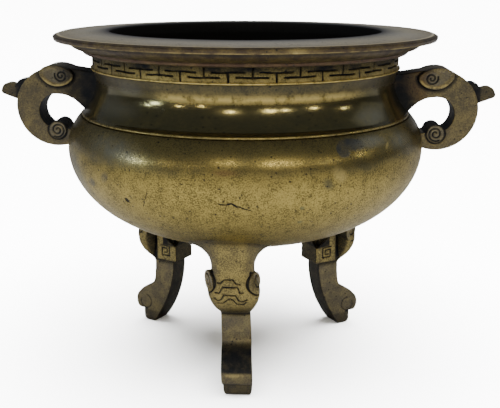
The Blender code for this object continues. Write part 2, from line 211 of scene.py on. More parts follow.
def dense(points, longest, from_radius):
    """Put points on the long straights of the outer rim, so that paint can end there."""
    filled = points[:1]
    for (x1, z1), (x2, z2) in zip(points, points[1:]):
        cuts = ceil(hypot(x2 - x1, z2 - z1) / longest) if min(x1, x2) > from_radius else 1
        filled += [(x1 + (x2 - x1) * s / cuts, z1 + (z2 - z1) * s / cuts)
                   for s in range(1, cuts + 1)]
    return filled


# %% The outline, up the outside and down the inside
def vessel_outline():
    ridge, neck, rim = RIDGE_RADIUS, NECK_RADIUS, RIM_RADIUS
    outside = lower_belly(BELLY_RADIUS, BELLY_LOWER, 44)
    outside += upper_belly(BELLY_RADIUS, BELLY_TOP_RADIUS, 14)[:-1]
    outside += softened([
        (*outside[-1], 0), (BELLY_TOP_RADIUS, RIDGE_Z - 0.0016, 0.0003),
        (ridge, RIDGE_Z - 0.0011, 0.0004), (ridge + 0.0001, RIDGE_Z - 0.0002, 0.0004),
        (ridge - 0.0007, RIDGE_Z + 0.0003, 0.0005),
        (SHOULDER_RADIUS - 0.0002, RIDGE_Z + 0.0006, 0.0004)])[1:]
    outside += shoulder(SHOULDER_RADIUS, WAIST_RADIUS, 18)[1:]
    upper_half = softened([
        (*outside[-1], 0), (WAIST_RADIUS + 0.0003, BAND_Z - 0.0036, 0.002),
        (neck, BAND_Z, 0.0009), (neck + 0.0009, BAND_Z + 0.0001, 0.0003),
        (neck + 0.0009, BAND_Z + 0.0009, 0.0003), (neck - 0.0014, BAND_Z + 0.0009, 0.0002),
        (neck - 0.0014, MOULDING_Z, 0.0002), (0.0843, MOULDING_Z - 0.0001, 0.0004),
        (0.0853, MOULDING_Z + 0.0006, 0.0006), (0.0853, MOULDING_Z + 0.0015, 0.0003),
        (0.0861, MOULDING_Z + 0.0018, 0.0004), (0.09, MOULDING_Z + 0.0031, 0.0015),
        (0.0924, MOULDING_Z + 0.0052, 0.0012), (0.0934, RIM_Z + 0.0007, 0.0004),
        (rim - 0.0006, RIM_Z + 0.0006, 0.0004), (rim, RIM_TOP_Z - 0.0007, 0.0007),
        (rim - 0.0024, RIM_TOP_Z + 0.0003, 0.0006), (rim - 0.004, RIM_TOP_Z + 0.00015, 0.0004),
        (OPENING_RADIUS + 0.0004, LIP_Z, 0.0006), (OPENING_RADIUS, LIP_Z - 0.0012, 0.0006),
        (OPENING_RADIUS, LIP_Z - 0.006, 0.001), (neck - WALL, MOULDING_Z - WALL / 2, 0.002),
        (neck - WALL, BAND_Z, 0)])
    outside += dense(upper_half, longest=0.0004, from_radius=0.08)[1:]
    inside = shoulder(SHOULDER_RADIUS - WALL, WAIST_RADIUS - WALL, 8)[::-1]
    inside += upper_belly(BELLY_RADIUS - WALL, BELLY_TOP_RADIUS - WALL, 6)[-2::-1]
    inside += lower_belly(BELLY_RADIUS - WALL, BELLY_LOWER - WALL, 20)[::-1]
    return outside + inside


# %% Draw the outline point by point and spin it
WELD_DISTANCE = 0.000002


def spun(name, outline, steps, closed=False):
    """Extrude one point along the outline, then turn the line round the axis."""
    bpy.ops.mesh.primitive_plane_add(size=0.001)
    obj = named(name)
    edit(obj)
    bpy.ops.mesh.merge(type="CENTER")
    bpy.ops.transform.translate(value=(outline[0][0], 0.0, outline[0][1]))
    for (across, up), (next_across, next_up) in zip(outline, outline[1:] + outline[:1] * closed):
        move = {"value": (next_across - across, 0.0, next_up - up)}
        bpy.ops.mesh.extrude_vertices_move(TRANSFORM_OT_translate=move)
    bpy.ops.mesh.select_all(action="SELECT")
    bpy.ops.mesh.spin(steps=steps, angle=2 * pi, center=(0, 0, 0), axis=(0, 0, 1))
    bpy.ops.mesh.select_all(action="SELECT")
    bpy.ops.mesh.remove_doubles(threshold=WELD_DISTANCE)
    bpy.ops.mesh.normals_make_consistent(inside=False)
    bpy.ops.object.mode_set(mode="OBJECT")
    return obj


VESSEL_STEPS = 300
vessel = spun("vessel", vessel_outline(), VESSEL_STEPS)
print("vessel:", len(vessel.data.polygons), "faces")

# %% [markdown]
# ## The key-fret band
#
# A thin ring sits round the neck, covered in a fret of upright and hanging T strokes. On the
# real piece each stroke is a shallow groove, slightly uneven, as cast from a hand-cut mould.
# A Boolean would give razor-sharp slots. Here the ring is made of very small faces, and each
# point near a stroke is pressed inward, deeper the closer it is, which gives worn, soft walls.


# %% How far a point lies from a drawn line
def distance_to_line(across, up, line):
    """Shortest distance from points (two tables) to a line through several points."""
    nearest = np.full(across.shape, 1.0)
    for (x1, y1), (x2, y2) in zip(line, line[1:]):
        dx, dy = x2 - x1, y2 - y1
        share = ((across - x1) * dx + (up - y1) * dy) / max(dx * dx + dy * dy, 1e-12)
        share = np.clip(share, 0, 1)
        nearest = np.minimum(nearest, np.hypot(across - x1 - share * dx, up - y1 - share * dy))
    return nearest


def waver(*waves):
    """A smooth unevenness without any random draw: several slow waves added up."""
    return sum(size * np.sin(rate * place + turn) for size, rate, place, turn in waves)


# %% The ring: how far round and how high each of its points lies
FRET_REPEATS, POINTS_PER_REPEAT = 23, 60
FRET_START = radians(-92.6)
FRET_BAR, FRET_LINE, FRET_DEPTH = 0.0146, 0.00076, 0.00075
band_low, band_high = BAND_Z + 0.0008, MOULDING_Z + 0.0001
rows = [(NECK_RADIUS, z) for z in np.linspace(band_low, band_high, 34)]
back = NECK_RADIUS - 0.0016
ring = [(back, band_low)] + rows + [(back, band_high)]
band = spun("fret_band", ring, POINTS_PER_REPEAT * FRET_REPEATS, closed=True)

points = read_points(band)
angle = np.arctan2(points[:, 1], points[:, 0])
radius = np.hypot(points[:, 0], points[:, 1])
height = points[:, 2]
period = 2 * pi / FRET_REPEATS
turned_by = (angle - FRET_START) / period
along = (turned_by - np.round(turned_by)) * period * NECK_RADIUS
along = along + waver((0.00012, 9, angle, 0.4), (0.0001, 23, angle, 2.0),
                      (0.00008, 700, height, 0.0))
up = height + waver((0.00012, 14, angle, 1.0), (0.00008, 41, angle, 0.0))
print("fret band:", len(band.data.polygons), "faces,", FRET_REPEATS, "repeats")

# %% Its strokes: one standing T, and half of a hanging T at either end of each repeat
bar_low, bar_high = BAND_Z + 0.0032, MOULDING_Z - 0.0027
foot, head = BAND_Z + 0.0011, MOULDING_Z - 0.0003


def tee(middle, end, bar):
    """A T from the end of its stem to its bar."""
    return [[(middle, end), (middle, bar)],
            [(middle - FRET_BAR / 2, bar), (middle + FRET_BAR / 2, bar)]]


half = period * NECK_RADIUS / 2
strokes = tee(0, foot, bar_high) + tee(-half, head, bar_low) + tee(half, head, bar_low)
gap = np.min([distance_to_line(along, up, line) for line in strokes], axis=0)
fret_grooves = 1 - ease((gap - FRET_LINE * 0.22) / (FRET_LINE * 0.5))
fret_grooves[radius < NECK_RADIUS - 0.0001] = 0
points[:, :2] *= (1 - fret_grooves * FRET_DEPTH / NECK_RADIUS)[:, None]
write_points(band, points)
print("points pressed in:", int((fret_grooves > 0.5).sum()))

# %% [markdown]
# ## A leg, cut from blocks and melted together
#
# Each leg is a small cabriole: a knee that flows into the belly, a squared collar behind it,
# two ear scrolls on the knee's corners, a shaft that bows outward and a curled toe. It could
# be one carefully joined net of faces. It is quicker, and looks more like a casting, to rough
# out each form as a closed block, let them overlap, and melt them with a voxel remesh, which
# leaves one skin. A little smoothing then rounds every edge as wax and wear did.

# %% Sizes of a leg: out from the axis along x, sideways along y, up along z
LEG_DIRECTIONS = (radians(-90.0), radians(31.2), radians(151.2))
LEG_LEANS = (-0.04, 0.0, 0.0)
SHAFT_WIDTH, SHAFT_INNER_WIDTH, FOOT_WIDTH = 0.0152, 0.0118, 0.0142
SHAFT_OUTER, SHAFT_INNER = 0.0586, 0.0463
FOOT_INNER, FOOT_OUTER = 0.0612, 0.0683
TOE_OUT, TOE_HEIGHT, TOE_RADIUS, TOE_NOTCH = 0.0655, 0.0128, 0.0082, 0.0077
COLLAR_WIDTH, COLLAR_INNER, COLLAR_OUTER, COLLAR_BOTTOM = 0.0164, 0.0428, 0.0564, 0.0418
KNEE_WIDTH, KNEE_FRONT, KNEE_BACK = 0.0262, 0.07, 0.0572
KNEE_HEIGHT, KNEE_WAIST, KNEE_BOTTOM = 0.0562, 0.043, 0.0378
NECK_WIDTH, NECK_HEIGHT = 0.0214, 0.066
LEG_FILLET, LEG_BACK_FILLET = 0.0112, 0.004
EAR_RADIUS, EAR_THICKNESS = 0.0056, 0.0052
LEG_VOXEL = 0.0004


# %% A flat outline given a thickness
def slab(name, outline, half_width):
    """A closed block from an outline in the X-Z plane, as wide as asked at each point."""
    bpy.ops.mesh.primitive_circle_add(vertices=len(outline), fill_type="NGON")
    obj = named(name)
    points = np.array([(x, 0.0, z) for x, z in outline])
    write_points(obj, points)
    edit(obj, "FACE")
    bpy.ops.mesh.extrude_region_move(TRANSFORM_OT_translate={"value": (0, 1, 0)})
    bpy.ops.mesh.select_all(action="SELECT")
    bpy.ops.mesh.quads_convert_to_tris()
    bpy.ops.mesh.normals_make_consistent(inside=False)
    bpy.ops.object.mode_set(mode="OBJECT")
    points = read_points(obj)
    sides = np.where(points[:, 1] > 0.5, 1, -1)
    points[:, 1] = sides * half_width(points[:, 0], points[:, 2])
    write_points(obj, points)
    return obj


# %% The shaft, from its top behind the knee down to the curled toe
HIDDEN_Z = EQUATOR_Z - BELLY_LOWER * 0.9
SHAFT_BEND_Z = 0.0405


def shaft_outline():
    reach = FOOT_INNER - SHAFT_INNER
    inner = [(SHAFT_INNER, HIDDEN_Z)]
    inner += [(SHAFT_INNER + reach * s ** 2, SHAFT_BEND_Z * (1 - s))
              for s in np.linspace(0, 1, 22)]
    toe = arc((TOE_OUT, TOE_HEIGHT), TOE_RADIUS, start=-38, end=30, steps=12)
    sole = softened([(*inner[-1], 0), (FOOT_OUTER, 0.0, 0.0026),
                     (FOOT_OUTER, TOE_NOTCH, 0.0006), (*toe[0], 0)])
    front = softened([(*toe[-1], 0), (0.0692, 0.0207, 0.002), (0.065, 0.0236, 0.002),
                      (0.0606, 0.0252, 0.0022), (0.059, 0.03, 0.003),
                      (SHAFT_OUTER, 0.035, 0.003), (SHAFT_OUTER, HIDDEN_Z, 0)])
    return inner + sole[1:-1] + toe + front[1:]


def shaft_half_width(across, height):
    """Narrower towards the inner side and the foot, and thin where it is hidden in the knee."""
    inward = np.clip((SHAFT_OUTER - across) / (SHAFT_OUTER - SHAFT_INNER), 0, 1)
    foot = 1 - ease(height / TOE_HEIGHT)
    taper = 1 - (1 - SHAFT_INNER_WIDTH / SHAFT_WIDTH) * inward
    taper = taper - (1 - FOOT_WIDTH / SHAFT_WIDTH) * foot
    taper = taper - 0.12 * np.clip(1 - height / 0.003, 0, 1) ** 2
    return np.where(height > COLLAR_BOTTOM + 0.001, 0.005, SHAFT_WIDTH / 2 * taper)


shaft = slab("shaft", shaft_outline(), shaft_half_width)
print("shaft:", len(shaft.data.vertices), "points")

# %% The collar block, notched at its two inner upper corners
NOTCH_Z = COLLAR_BOTTOM + 0.0094
collar_top = belly_height(COLLAR_OUTER) + 0.002
bpy.ops.mesh.primitive_cube_add(size=1.0)
collar = named("collar")
points = read_points(collar)
points = points * (COLLAR_OUTER - COLLAR_INNER, COLLAR_WIDTH, collar_top - COLLAR_BOTTOM)
points += ((COLLAR_OUTER + COLLAR_INNER) / 2, 0.0, (collar_top + COLLAR_BOTTOM) / 2)
write_points(collar, points)
notch_size = collar_top - NOTCH_Z
for side in (-1, 1):
    bpy.ops.mesh.primitive_cube_add(size=1.0)
    notch = named("notch")
    notch.data.transform(Matrix.Diagonal((0.012, notch_size, notch_size, 1.0)))
    corner = (COLLAR_INNER, side * COLLAR_WIDTH / 2, NOTCH_Z + notch_size * 0.707)
    turned = Matrix.Rotation(-side * pi / 4, 4, "Z") @ Matrix.Rotation(pi / 4, 4, "X")
    notch.data.transform(Matrix.Translation(corner) @ turned)
    apply_modifier(collar, "BOOLEAN", object=notch, operation="DIFFERENCE", solver="EXACT")
    bpy.data.objects.remove(notch)
apply_modifier(collar, "BEVEL", width=0.0012, segments=2, limit_method="ANGLE",
               angle_limit=radians(60))
print("collar:", len(collar.data.polygons), "faces")

# %% The knee's outline from the side, and one level section of it
KNEE_SIDE = ((KNEE_BOTTOM, 0.0582), (0.04, 0.0588), (0.0418, 0.0602), (0.043, 0.063),
             (0.0443, 0.0652), (0.047, 0.0678), (0.0515, 0.0699), (KNEE_HEIGHT, 0.0706),
             (0.061, 0.0704), (NECK_HEIGHT, KNEE_FRONT))
KNEE_SQUARENESS = 0.82


def knee_section(height, sides):
    front = float(np.interp(height, *zip(*KNEE_SIDE)))
    if height < KNEE_HEIGHT:
        share = max((height - KNEE_WAIST) / (KNEE_HEIGHT - KNEE_WAIST), 0.0)
        half_width = (SHAFT_WIDTH + (KNEE_WIDTH - SHAFT_WIDTH) * (1 - (1 - share) ** 2)) / 2
    else:
        share = float(ease((height - KNEE_HEIGHT) / (NECK_HEIGHT - KNEE_HEIGHT)))
        half_width = (KNEE_WIDTH + (NECK_WIDTH - KNEE_WIDTH) * share) / 2
    middle, reach = (front + KNEE_BACK) / 2, (front - KNEE_BACK) / 2
    section = []
    for side in range(sides):
        turn = 2 * pi * (side + 0.5) / sides
        x, y = (copysign(abs(v) ** KNEE_SQUARENESS, v) for v in (cos(turn), sin(turn)))
        section.append((middle + reach * x, half_width * y, height))
    return section


# %% The flare: a round fillet where the neck of the knee meets the belly
def flare(foot, middle, steps):
    """Points from the neck's edge out onto the belly, then up into its wall."""
    outward = Vector((foot[0] - middle, foot[1])).normalized()
    radius = LEG_BACK_FILLET + (LEG_FILLET - LEG_BACK_FILLET) * min((1 + outward.x) / 0.9, 1.0)
    meets = belly_height(hypot(foot[0], foot[1]))
    step = 0.001
    beside = belly_height(hypot(foot[0] + outward.x * step, foot[1] + outward.y * step))
    sweep = pi / 2 - atan((beside - meets) / step)
    start = meets - radius * tan(sweep / 2)
    column = []
    for turn in np.linspace(0, sweep, steps + 1):
        reach = radius * (1 - cos(turn))
        column.append((foot[0] + outward.x * reach, foot[1] + outward.y * reach,
                       start + radius * sin(turn)))
    last = column[-1]
    inside = belly_height(hypot(last[0], last[1])) + 0.003
    return column + [(last[0], last[1], inside)]


# %% The knee: a cylinder whose rings are moved onto those sections
SIDES, RINGS, FLARE_RINGS = 72, 24, 14
sections = [knee_section(z, SIDES) for z in np.linspace(KNEE_BOTTOM, NECK_HEIGHT, RINGS)]
middle = (KNEE_FRONT + KNEE_BACK) / 2
sections += list(zip(*[flare(foot, middle, FLARE_RINGS) for foot in sections[-1]]))
bpy.ops.mesh.primitive_cylinder_add(vertices=SIDES, depth=1.0, end_fill_type="NGON")
knee = named("knee")
edit(knee, "EDGE")
bpy.ops.mesh.select_all(action="DESELECT")
bpy.ops.object.mode_set(mode="OBJECT")
for edge in knee.data.edges:
    low, high = (knee.data.vertices[i].co.z for i in edge.vertices)
    edge.select = abs(low - high) > 0.5
bpy.ops.object.mode_set(mode="EDIT")
bpy.ops.mesh.subdivide_edgering(number_cuts=len(sections) - 2, interpolation="LINEAR")
bpy.ops.object.mode_set(mode="OBJECT")
points = read_points(knee)
level = np.round((points[:, 2] + 0.5) * (len(sections) - 1)).astype(int)
turn = np.round(np.degrees(np.arctan2(points[:, 1], points[:, 0])) * SIDES / 360)
for index in range(len(points)):
    points[index] = sections[level[index]][int(turn[index]) % SIDES]
write_points(knee, points)
print("knee:", len(points), "points in", len(sections), "rings")

# %% The two ear scrolls, thick discs on the knee's front corners
EAR_TURN = radians(63)
EAR_PLACES = {-1: (0.0643, 0.0124, 0.0603), 1: (0.065, 0.0108, 0.06)}
ears = []
for side in (-1, 1):
    bpy.ops.mesh.primitive_cylinder_add(vertices=40, radius=EAR_RADIUS, depth=EAR_THICKNESS)
    ear = named("ear")
    ear.data.transform(Matrix.Translation((0, 0, -EAR_THICKNESS / 2)))
    stand = Matrix.Rotation(side * EAR_TURN, 4, "Z") @ Matrix.Rotation(pi / 2, 4, "Y")
    out, across, up = EAR_PLACES[side]
    ear.data.transform(Matrix.Translation((out, side * across, up)) @ stand)
    ears.append(ear)
print("ears:", len(ears))


# %% Melt the blocks together
def melted(name, blocks, voxel, rounds=5):
    """Join overlapping closed blocks into one even skin and smooth it a little."""
    pick(*blocks)
    bpy.ops.object.join()
    whole = named(name)
    whole.data.remesh_voxel_size = voxel
    whole.data.remesh_voxel_adaptivity = 0.0
    bpy.ops.object.voxel_remesh()
    apply_modifier(whole, "SMOOTH", factor=0.5, iterations=rounds)
    return whole


leg = melted("leg", [shaft, collar, knee] + ears, LEG_VOXEL)
print("leg:", len(leg.data.polygons), "faces")

# %% [markdown]
# ## The carving on the leg
#
# The knee carries cloud lines, the ears a curl, the collar a squared spiral and the toe a
# ring. A chaser cuts such lines with a small graver. The code does the same: every line is
# drawn as a row of points on the surface it belongs to, and the skin near it is pressed in
# along its own normal. How deep each point was pressed is kept, because grime settles there
# and the material will want to know.


# %% Press drawn lines into a surface
def bump_at(values, centre, width):
    """A soft hill of height 1 round a value."""
    return np.exp(-((values - centre) / width) ** 2)


def carve(points, normals, depth_so_far, gap, where, width, depth):
    """Press points in along their normals near a line, and remember how much."""
    amount = (1 - ease((gap - width * 0.15) / (width * 0.55))) * where
    points -= normals * (amount * depth)[:, None]
    return np.maximum(depth_so_far, amount)


def spiral(centre, start_radius, end_radius, start, turns, steps=48):
    """A spiral line in a plane, from its outer end to its middle."""
    line = []
    for s in np.linspace(0, 1, steps):
        radius = start_radius + (end_radius - start_radius) * s
        turn = radians(start) + turns * 2 * pi * s
        line.append((centre[0] + radius * cos(turn), centre[1] + radius * sin(turn)))
    return line


def in_metres(line):
    """A line that was typed in millimetres."""
    return [(a / 1000, b / 1000) for a, b in line]


points, normals = read_points(leg), read_normals(leg)
cut = np.zeros(len(points))
x, y, z = points.T.copy()

# %% Cloud lines on the front of the knee, in millimetres
CLOUDS = [
    [(-7.6, 61.2), (-6, 61.2), (-4.1, 63), (0.2, 63.1), (1.6, 61.1), (3.8, 60.9)],
    [(-8.9, 56), (-7, 55.9), (-5, 59.2), (2.6, 59.1), (3.3, 56.4), (5, 56.5)],
    [(-9.7, 52.9), (-7.7, 51.7), (-6.1, 52.4), (-4.6, 55.1), (1.3, 54.9), (2.6, 52),
     (5.1, 51.7), (6.7, 52.6)],
    [(-7.9, 50.2), (-5.1, 50.3), (-2.8, 52.6), (-1.3, 53.1), (0, 52.3), (1.6, 49.9),
     (5, 49.7), (6.3, 51.2)],
]
front = ease((normals[:, 0] - 0.25) / 0.2) * (x > 0.06)
for line in CLOUDS:
    gap = distance_to_line(y, z, in_metres(line))
    cut = carve(points, normals, cut, gap, front, 0.00068, 0.0006)
print("cloud lines:", len(CLOUDS))

# %% Curls on the ears, with a groove that parts each ear from the knee
for side, (out, apart, up) in EAR_PLACES.items():
    across = np.cos(EAR_TURN) * (side * y - apart) - np.sin(EAR_TURN) * (x - out)
    outward = np.sin(EAR_TURN) * (side * y - apart) + np.cos(EAR_TURN) * (x - out)
    rise = z - up
    reach = np.hypot(across, rise)
    near = (side * y > 0.004) * ease((outward + 0.0032) / 0.001) * (reach < 0.0075)
    curl = distance_to_line(across, rise, spiral((0.0006, 0), 0.0034, 0.001, 60, 0.85))
    cut = carve(points, normals, cut, curl, near, 0.0007, 0.0006)
    rim = np.abs(reach - EAR_RADIUS - 0.0003)
    inner = near * ease((0.0012 - across) / 0.002)
    cut = carve(points, normals, cut, rim, inner, 0.0007, 0.0009)
    pit = np.hypot(across + 0.003, rise - EAR_RADIUS)
    cut = carve(points, normals, cut, pit, near, 0.002, 0.0012)
print("deepest point:", round(float(cut.max()), 2))

# %% Squared spiral on the collar's sides, and a ring on the toe
SQUARE = [(53.4, 51.2), (47.6, 51), (47.4, 45.2), (52.6, 45), (52.8, 49.6), (49.2, 49.4),
          (49.2, 47), (51.2, 46.9)]
flank = ease((np.abs(normals[:, 1]) - 0.6) / 0.2)
standing = np.abs(normals[:, 2]) < 0.9
gap = distance_to_line(x, z, in_metres(SQUARE))
cut = carve(points, normals, cut, gap, flank * (x < COLLAR_OUTER), 0.0008, 0.0005)
below_collar, at_notch = np.abs(z - COLLAR_BOTTOM + 0.0002), np.abs(z - TOE_NOTCH)
near_collar, near_notch = (x < COLLAR_OUTER + 0.001) * standing, (x > 0.066) * standing
cut = carve(points, normals, cut, below_collar, near_collar, 0.0009, 0.0004)
cut = carve(points, normals, cut, at_notch, near_notch, 0.0009, 0.0004)
toe_ring = spiral((TOE_OUT + 0.0014, TOE_HEIGHT - 0.0006), 0.0046, 0.0034, 100, 0.8)
gap = distance_to_line(x, z, toe_ring)
ring = carve(points, normals, cut * 0, gap, flank * (z < 0.025), 0.001, 0.00025)
write_points(leg, points)
leg_grooves = np.maximum(cut, 0.4 * ring)
print("leg carved:", int((leg_grooves > 0.5).sum()), "points in the grooves")

# %% Where grime and painted shade lie on a leg, and where it is rubbed, painted bright or brown
sideways = np.abs(y)
# Painted shade in the recess between the knee and the collar
recess = bump_at(x, 0.0583, 0.0026) * (z > COLLAR_BOTTOM)
recess = recess * ease((sideways - 0.004) / 0.001) * ease((0.0088 - sideways) / 0.001)
# Darker under the collar's ledge: painted shade, with grime in the groove there
under = bump_at(z, COLLAR_BOTTOM - 0.001, 0.0014) * (x < COLLAR_OUTER) * 0.8
# Painted shade on faces turned inward, at the collar's notches and on the neck under the belly
behind = ease((-normals[:, 0] - 0.25) / 0.4) * 0.72 * (x < 0.066)
collar_head = ease((z - COLLAR_BOTTOM - 0.0085) / 0.002) * (x < COLLAR_OUTER - 0.0045) * 0.95
hollow = ease((0.06 - x) / 0.003) * ease((z - 0.056) / 0.004) * 0.9
facing = ease((normals[:, 0] + normals[:, 2] - 0.25) / 0.4) * (x > SHAFT_OUTER - 0.0015)
# Painted shade on the upward front of the lower shaft, dark as if it mirrored the dim room
toe_top = facing * ease((z - 0.0142) / 0.0014) * (1 - ease((z - 0.0228) / 0.0045)) * 0.97
# Painted shade under the knee
under_knee = ease((0.0505 - z) / 0.009) * ease((z - 0.0398) / 0.0012) * (x > COLLAR_OUTER) * 0.85
toe_line = bump_at(z, TOE_NOTCH, 0.0009) * (x > 0.0655)
# Darker below the toe's notch
base = ease((TOE_NOTCH - z) / 0.001) * 0.45
# Grime in the carving, laid together with the painted shade
leg_grime = np.max([recess, under, behind, collar_head, hollow, toe_top, under_knee, toe_line,
                    base, leg_grooves * 1.5], axis=0)
# Painted highlight on the top of the toe's roll, with some rubbed brass
toe_rub_and_highlight = bump_at(z, 0.0136, 0.0009) * facing * ease((0.0055 - np.abs(y + 0.001)) / 0.002)
# Painted shade: the sides of the leg's neck are made browner and darker
neck_sides = ease((sideways - 0.005) / 0.004) * ease((z - 0.054) / 0.006) * 0.4
low = ease((0.044 - z) / 0.006)
leg_brown, leg_grey = 0.3 + 0.54 * low + neck_sides, 0.04 + 0.04 * low
print("grimy points on a leg:", int((leg_grime > 0.5).sum()))

# %% [markdown]
# ## Three legs in their places
#
# The leg was shaped once, standing out along +X. Each copy gets its own mesh, leans a touch
# and swings round to its place. Where the flare runs out onto the belly the two skins almost
# touch, and a seam would show in the light. So the flare is tucked into the belly's wall, and
# its shading normals are eased into the belly's own, which makes the join vanish.

# %% Swing each copy round and tuck its flare into the belly
TUCK, TUCK_REACH, DEEPEST, BLEND_REACH = 0.00045, 0.0007, 0.002, 0.0016


def belly_normals(points):
    """Which way the belly's lower half faces at each point."""
    step = 0.0002
    radius = np.maximum(np.hypot(points[:, 0], points[:, 1]), 0.001)
    slope = (belly_height(radius + step) - belly_height(radius - step)) / (2 * step)
    down = 1 / np.sqrt(1 + slope ** 2)
    outward = slope * down / radius
    return np.stack([outward * points[:, 0], outward * points[:, 1], -down], axis=1)


def own_copy(obj, name, matrix):
    """A smooth-shaded copy with a mesh of its own, moved by a matrix."""
    copy = obj.copy()
    copy.data = obj.data.copy()
    bpy.context.collection.objects.link(copy)
    copy.name = copy.data.name = name
    copy.data.transform(matrix)
    pick(copy)
    bpy.ops.object.shade_smooth()
    return copy


def placed_leg(name, direction, lean):
    leaned = Matrix.Identity(4)
    leaned[1][2] = lean
    copy = own_copy(leg, name, Matrix.Rotation(direction, 4, "Z") @ leaned)
    points = read_points(copy)
    surface = belly_height(np.hypot(points[:, 0], points[:, 1]))
    clear = np.clip(surface - points[:, 2], 0, None)
    points[:, 2] += TUCK * np.exp(-clear / TUCK_REACH)
    points[:, 2] = np.minimum(points[:, 2], surface + DEEPEST)
    write_points(copy, points)
    share = ease(clear / BLEND_REACH)[:, None]
    normals = read_normals(copy) * share + belly_normals(points) * (1 - share)
    normals /= np.linalg.norm(normals, axis=1)[:, None]
    copy.data.normals_split_custom_set_from_vertices([tuple(n) for n in normals])
    return copy


legs = [placed_leg(f"leg_{name}", direction, lean)
        for name, direction, lean in zip(("front", "right", "left"), LEG_DIRECTIONS, LEG_LEANS)]
bpy.data.objects.remove(leg)
print("legs:", [obj.name for obj in legs])

# %% [markdown]
# ## A scroll handle
#
# Each handle is a thick C scroll: its top grows out of the neck, its lower end rolls up beside
# the belly, a comma-shaped brow lies over its top and a spur stands out behind. The same way
# of working serves again: flat blocks, one melting, then engraving. The brow's block is simply
# wider than the others, so that it stands out on both sides.

# %% Sizes of a handle, around the middle of its ring
RING_X, RING_Z = 0.1014, 0.1375
HANDLE_WIDTH, HORN_WIDTH, BROW_RISE = 0.0165, 0.0086, 0.002
RING_RADIUS, RING_RISE, RING_TOP = 0.0216, 0.0207, 0.0207
EYE_RADIUS, EYE_DROP = 0.0093, 0.0028
ROLL_RADIUS, ROLL_DROP = 0.0048, 0.013
HANDLE_VOXEL = 0.00042
SPUR = ((14, 10, 0), (15.2, 13.4, 1.2), (18.4, 14.2, 2.2), (21.2, 13.4, 1.6),
        (22.6, 10.4, 1.4), (26.6, 11.8, 2.2), (29.4, 11.2, 1.6), (31.1, 7.4, 1.4),
        (30.2, 6, 0.8), (20, 2.2, 0))
BROW = [(109.6, 155.6), (107.5, 158.3), (103.5, 159.4), (99, 159.2), (95, 158), (92, 156.3),
        (90.6, 154.2), (91.4, 151.6), (94.2, 149.4), (98, 148.2), (101.8, 148.2),
        (105.2, 149.6), (107.6, 151.8), (109.2, 154)]
print("handles reach, mm:", round(1000 * RING_X + SPUR[7][0], 1))


# %% Cut its four blocks and melt them
def c_scroll():
    x, z = RING_X, RING_Z
    outline = [(WAIST_RADIUS - WALL, BAND_Z - 0.003), (x - 0.018, z + RING_TOP - 0.0022),
               (x - 0.0112, z + RING_TOP - 0.001), (x - 0.005, z + RING_TOP - 0.0001)]
    for across, up in arc((0.0, 0.0), 1.0, start=84, end=-112, steps=60):
        rise = RING_RISE if up > 0 else RING_RADIUS
        outline.append((x + RING_RADIUS * across, z + rise * up))
    outline += [(x - 0.0094, z - 0.018), (x - 0.0094, z - ROLL_DROP)]
    outline += arc((x, z - EYE_DROP), EYE_RADIUS, start=-58, end=96, steps=36)
    outline += [(x - 0.0037, z + 0.0062), (x - 0.0062, z + 0.0056), (x - 0.0101, z + 0.0036),
                (x - 0.0144, z - 0.0004), (BELLY_TOP_RADIUS - WALL / 2, z - 0.0034)]
    return outline


def even_slab(name, outline, width):
    return slab(name, outline, lambda x, z: np.full(x.shape, width / 2))


spur = [(RING_X + x / 1000, RING_Z + z / 1000, soft / 1000) for x, z, soft in SPUR]
brow_line = in_metres(BROW)
brow_corners = [(*p, 0.0015) for p in brow_line[-1:] + brow_line + brow_line[:1]]
brow_outline = softened(brow_corners, 3)[1:-1]
blocks = [even_slab("scroll", c_scroll(), HANDLE_WIDTH),
          even_slab("horn", softened(spur, 6), HORN_WIDTH),
          even_slab("brow", brow_outline, HANDLE_WIDTH + 2 * BROW_RISE)]
bpy.ops.mesh.primitive_cylinder_add(vertices=48, radius=ROLL_RADIUS,
                                    depth=HANDLE_WIDTH + 0.0014)
roll = named("roll")
roll_place = Matrix.Translation((RING_X, 0, RING_Z - ROLL_DROP))
roll.data.transform(roll_place @ Matrix.Rotation(pi / 2, 4, "X"))
handle = melted("handle", blocks + [roll], HANDLE_VOXEL)
print("handle:", len(handle.data.polygons), "faces")

# %% Raise the brow, engrave its curl and the rolled end
BROW_EYE = (0.0975, 0.154)
points, normals = read_points(handle), read_normals(handle)
cut = np.zeros(len(points))
x, y, z = points.T.copy()
sideways, facing_side, half = np.abs(y), np.abs(normals[:, 1]), HANDLE_WIDTH / 2
face = ease((facing_side - 0.5) / 0.3) * (sideways > half - 0.0015)
on_brow, below_brow = face * (sideways > half + 0.0006), face * (sideways < half + 0.0012)
edge_gap = distance_to_line(x, z, brow_outline + brow_outline[:1])
gap = distance_to_line(x, z, spiral(BROW_EYE, 0.0034, 0.0006, 20, -1.6))
cut = carve(points, normals, cut, gap, on_brow, 0.0009, 0.0007)
cut = carve(points, normals, cut, edge_gap, below_brow, 0.0016, 0.0005)
from_curl = np.hypot(x - BROW_EYE[0], z - BROW_EYE[1])
hollow = on_brow * ease((edge_gap - 0.0009) / 0.0012) * ease((from_curl - 0.0036) / 0.0015)
points -= normals * (hollow * 0.0005)[:, None]
from_roll = np.hypot(x - RING_X, z - RING_Z + ROLL_DROP)
near_roll = face * (from_roll < ROLL_RADIUS + 0.0006)
gap = distance_to_line(x, z, spiral((RING_X, RING_Z - ROLL_DROP), 0.004, 0.0008, -60, -1.7))
cut = carve(points, normals, cut, gap, near_roll, 0.0009, 0.0006)
roll_edge = np.abs(from_roll - ROLL_RADIUS - 0.0003)
cut = carve(points, normals, cut, roll_edge, face * (from_roll < 0.007), 0.0011, 0.0005)
write_points(handle, points)
handle_grooves = cut
print("handle carved:", int((cut > 0.5).sum()), "points in the grooves")
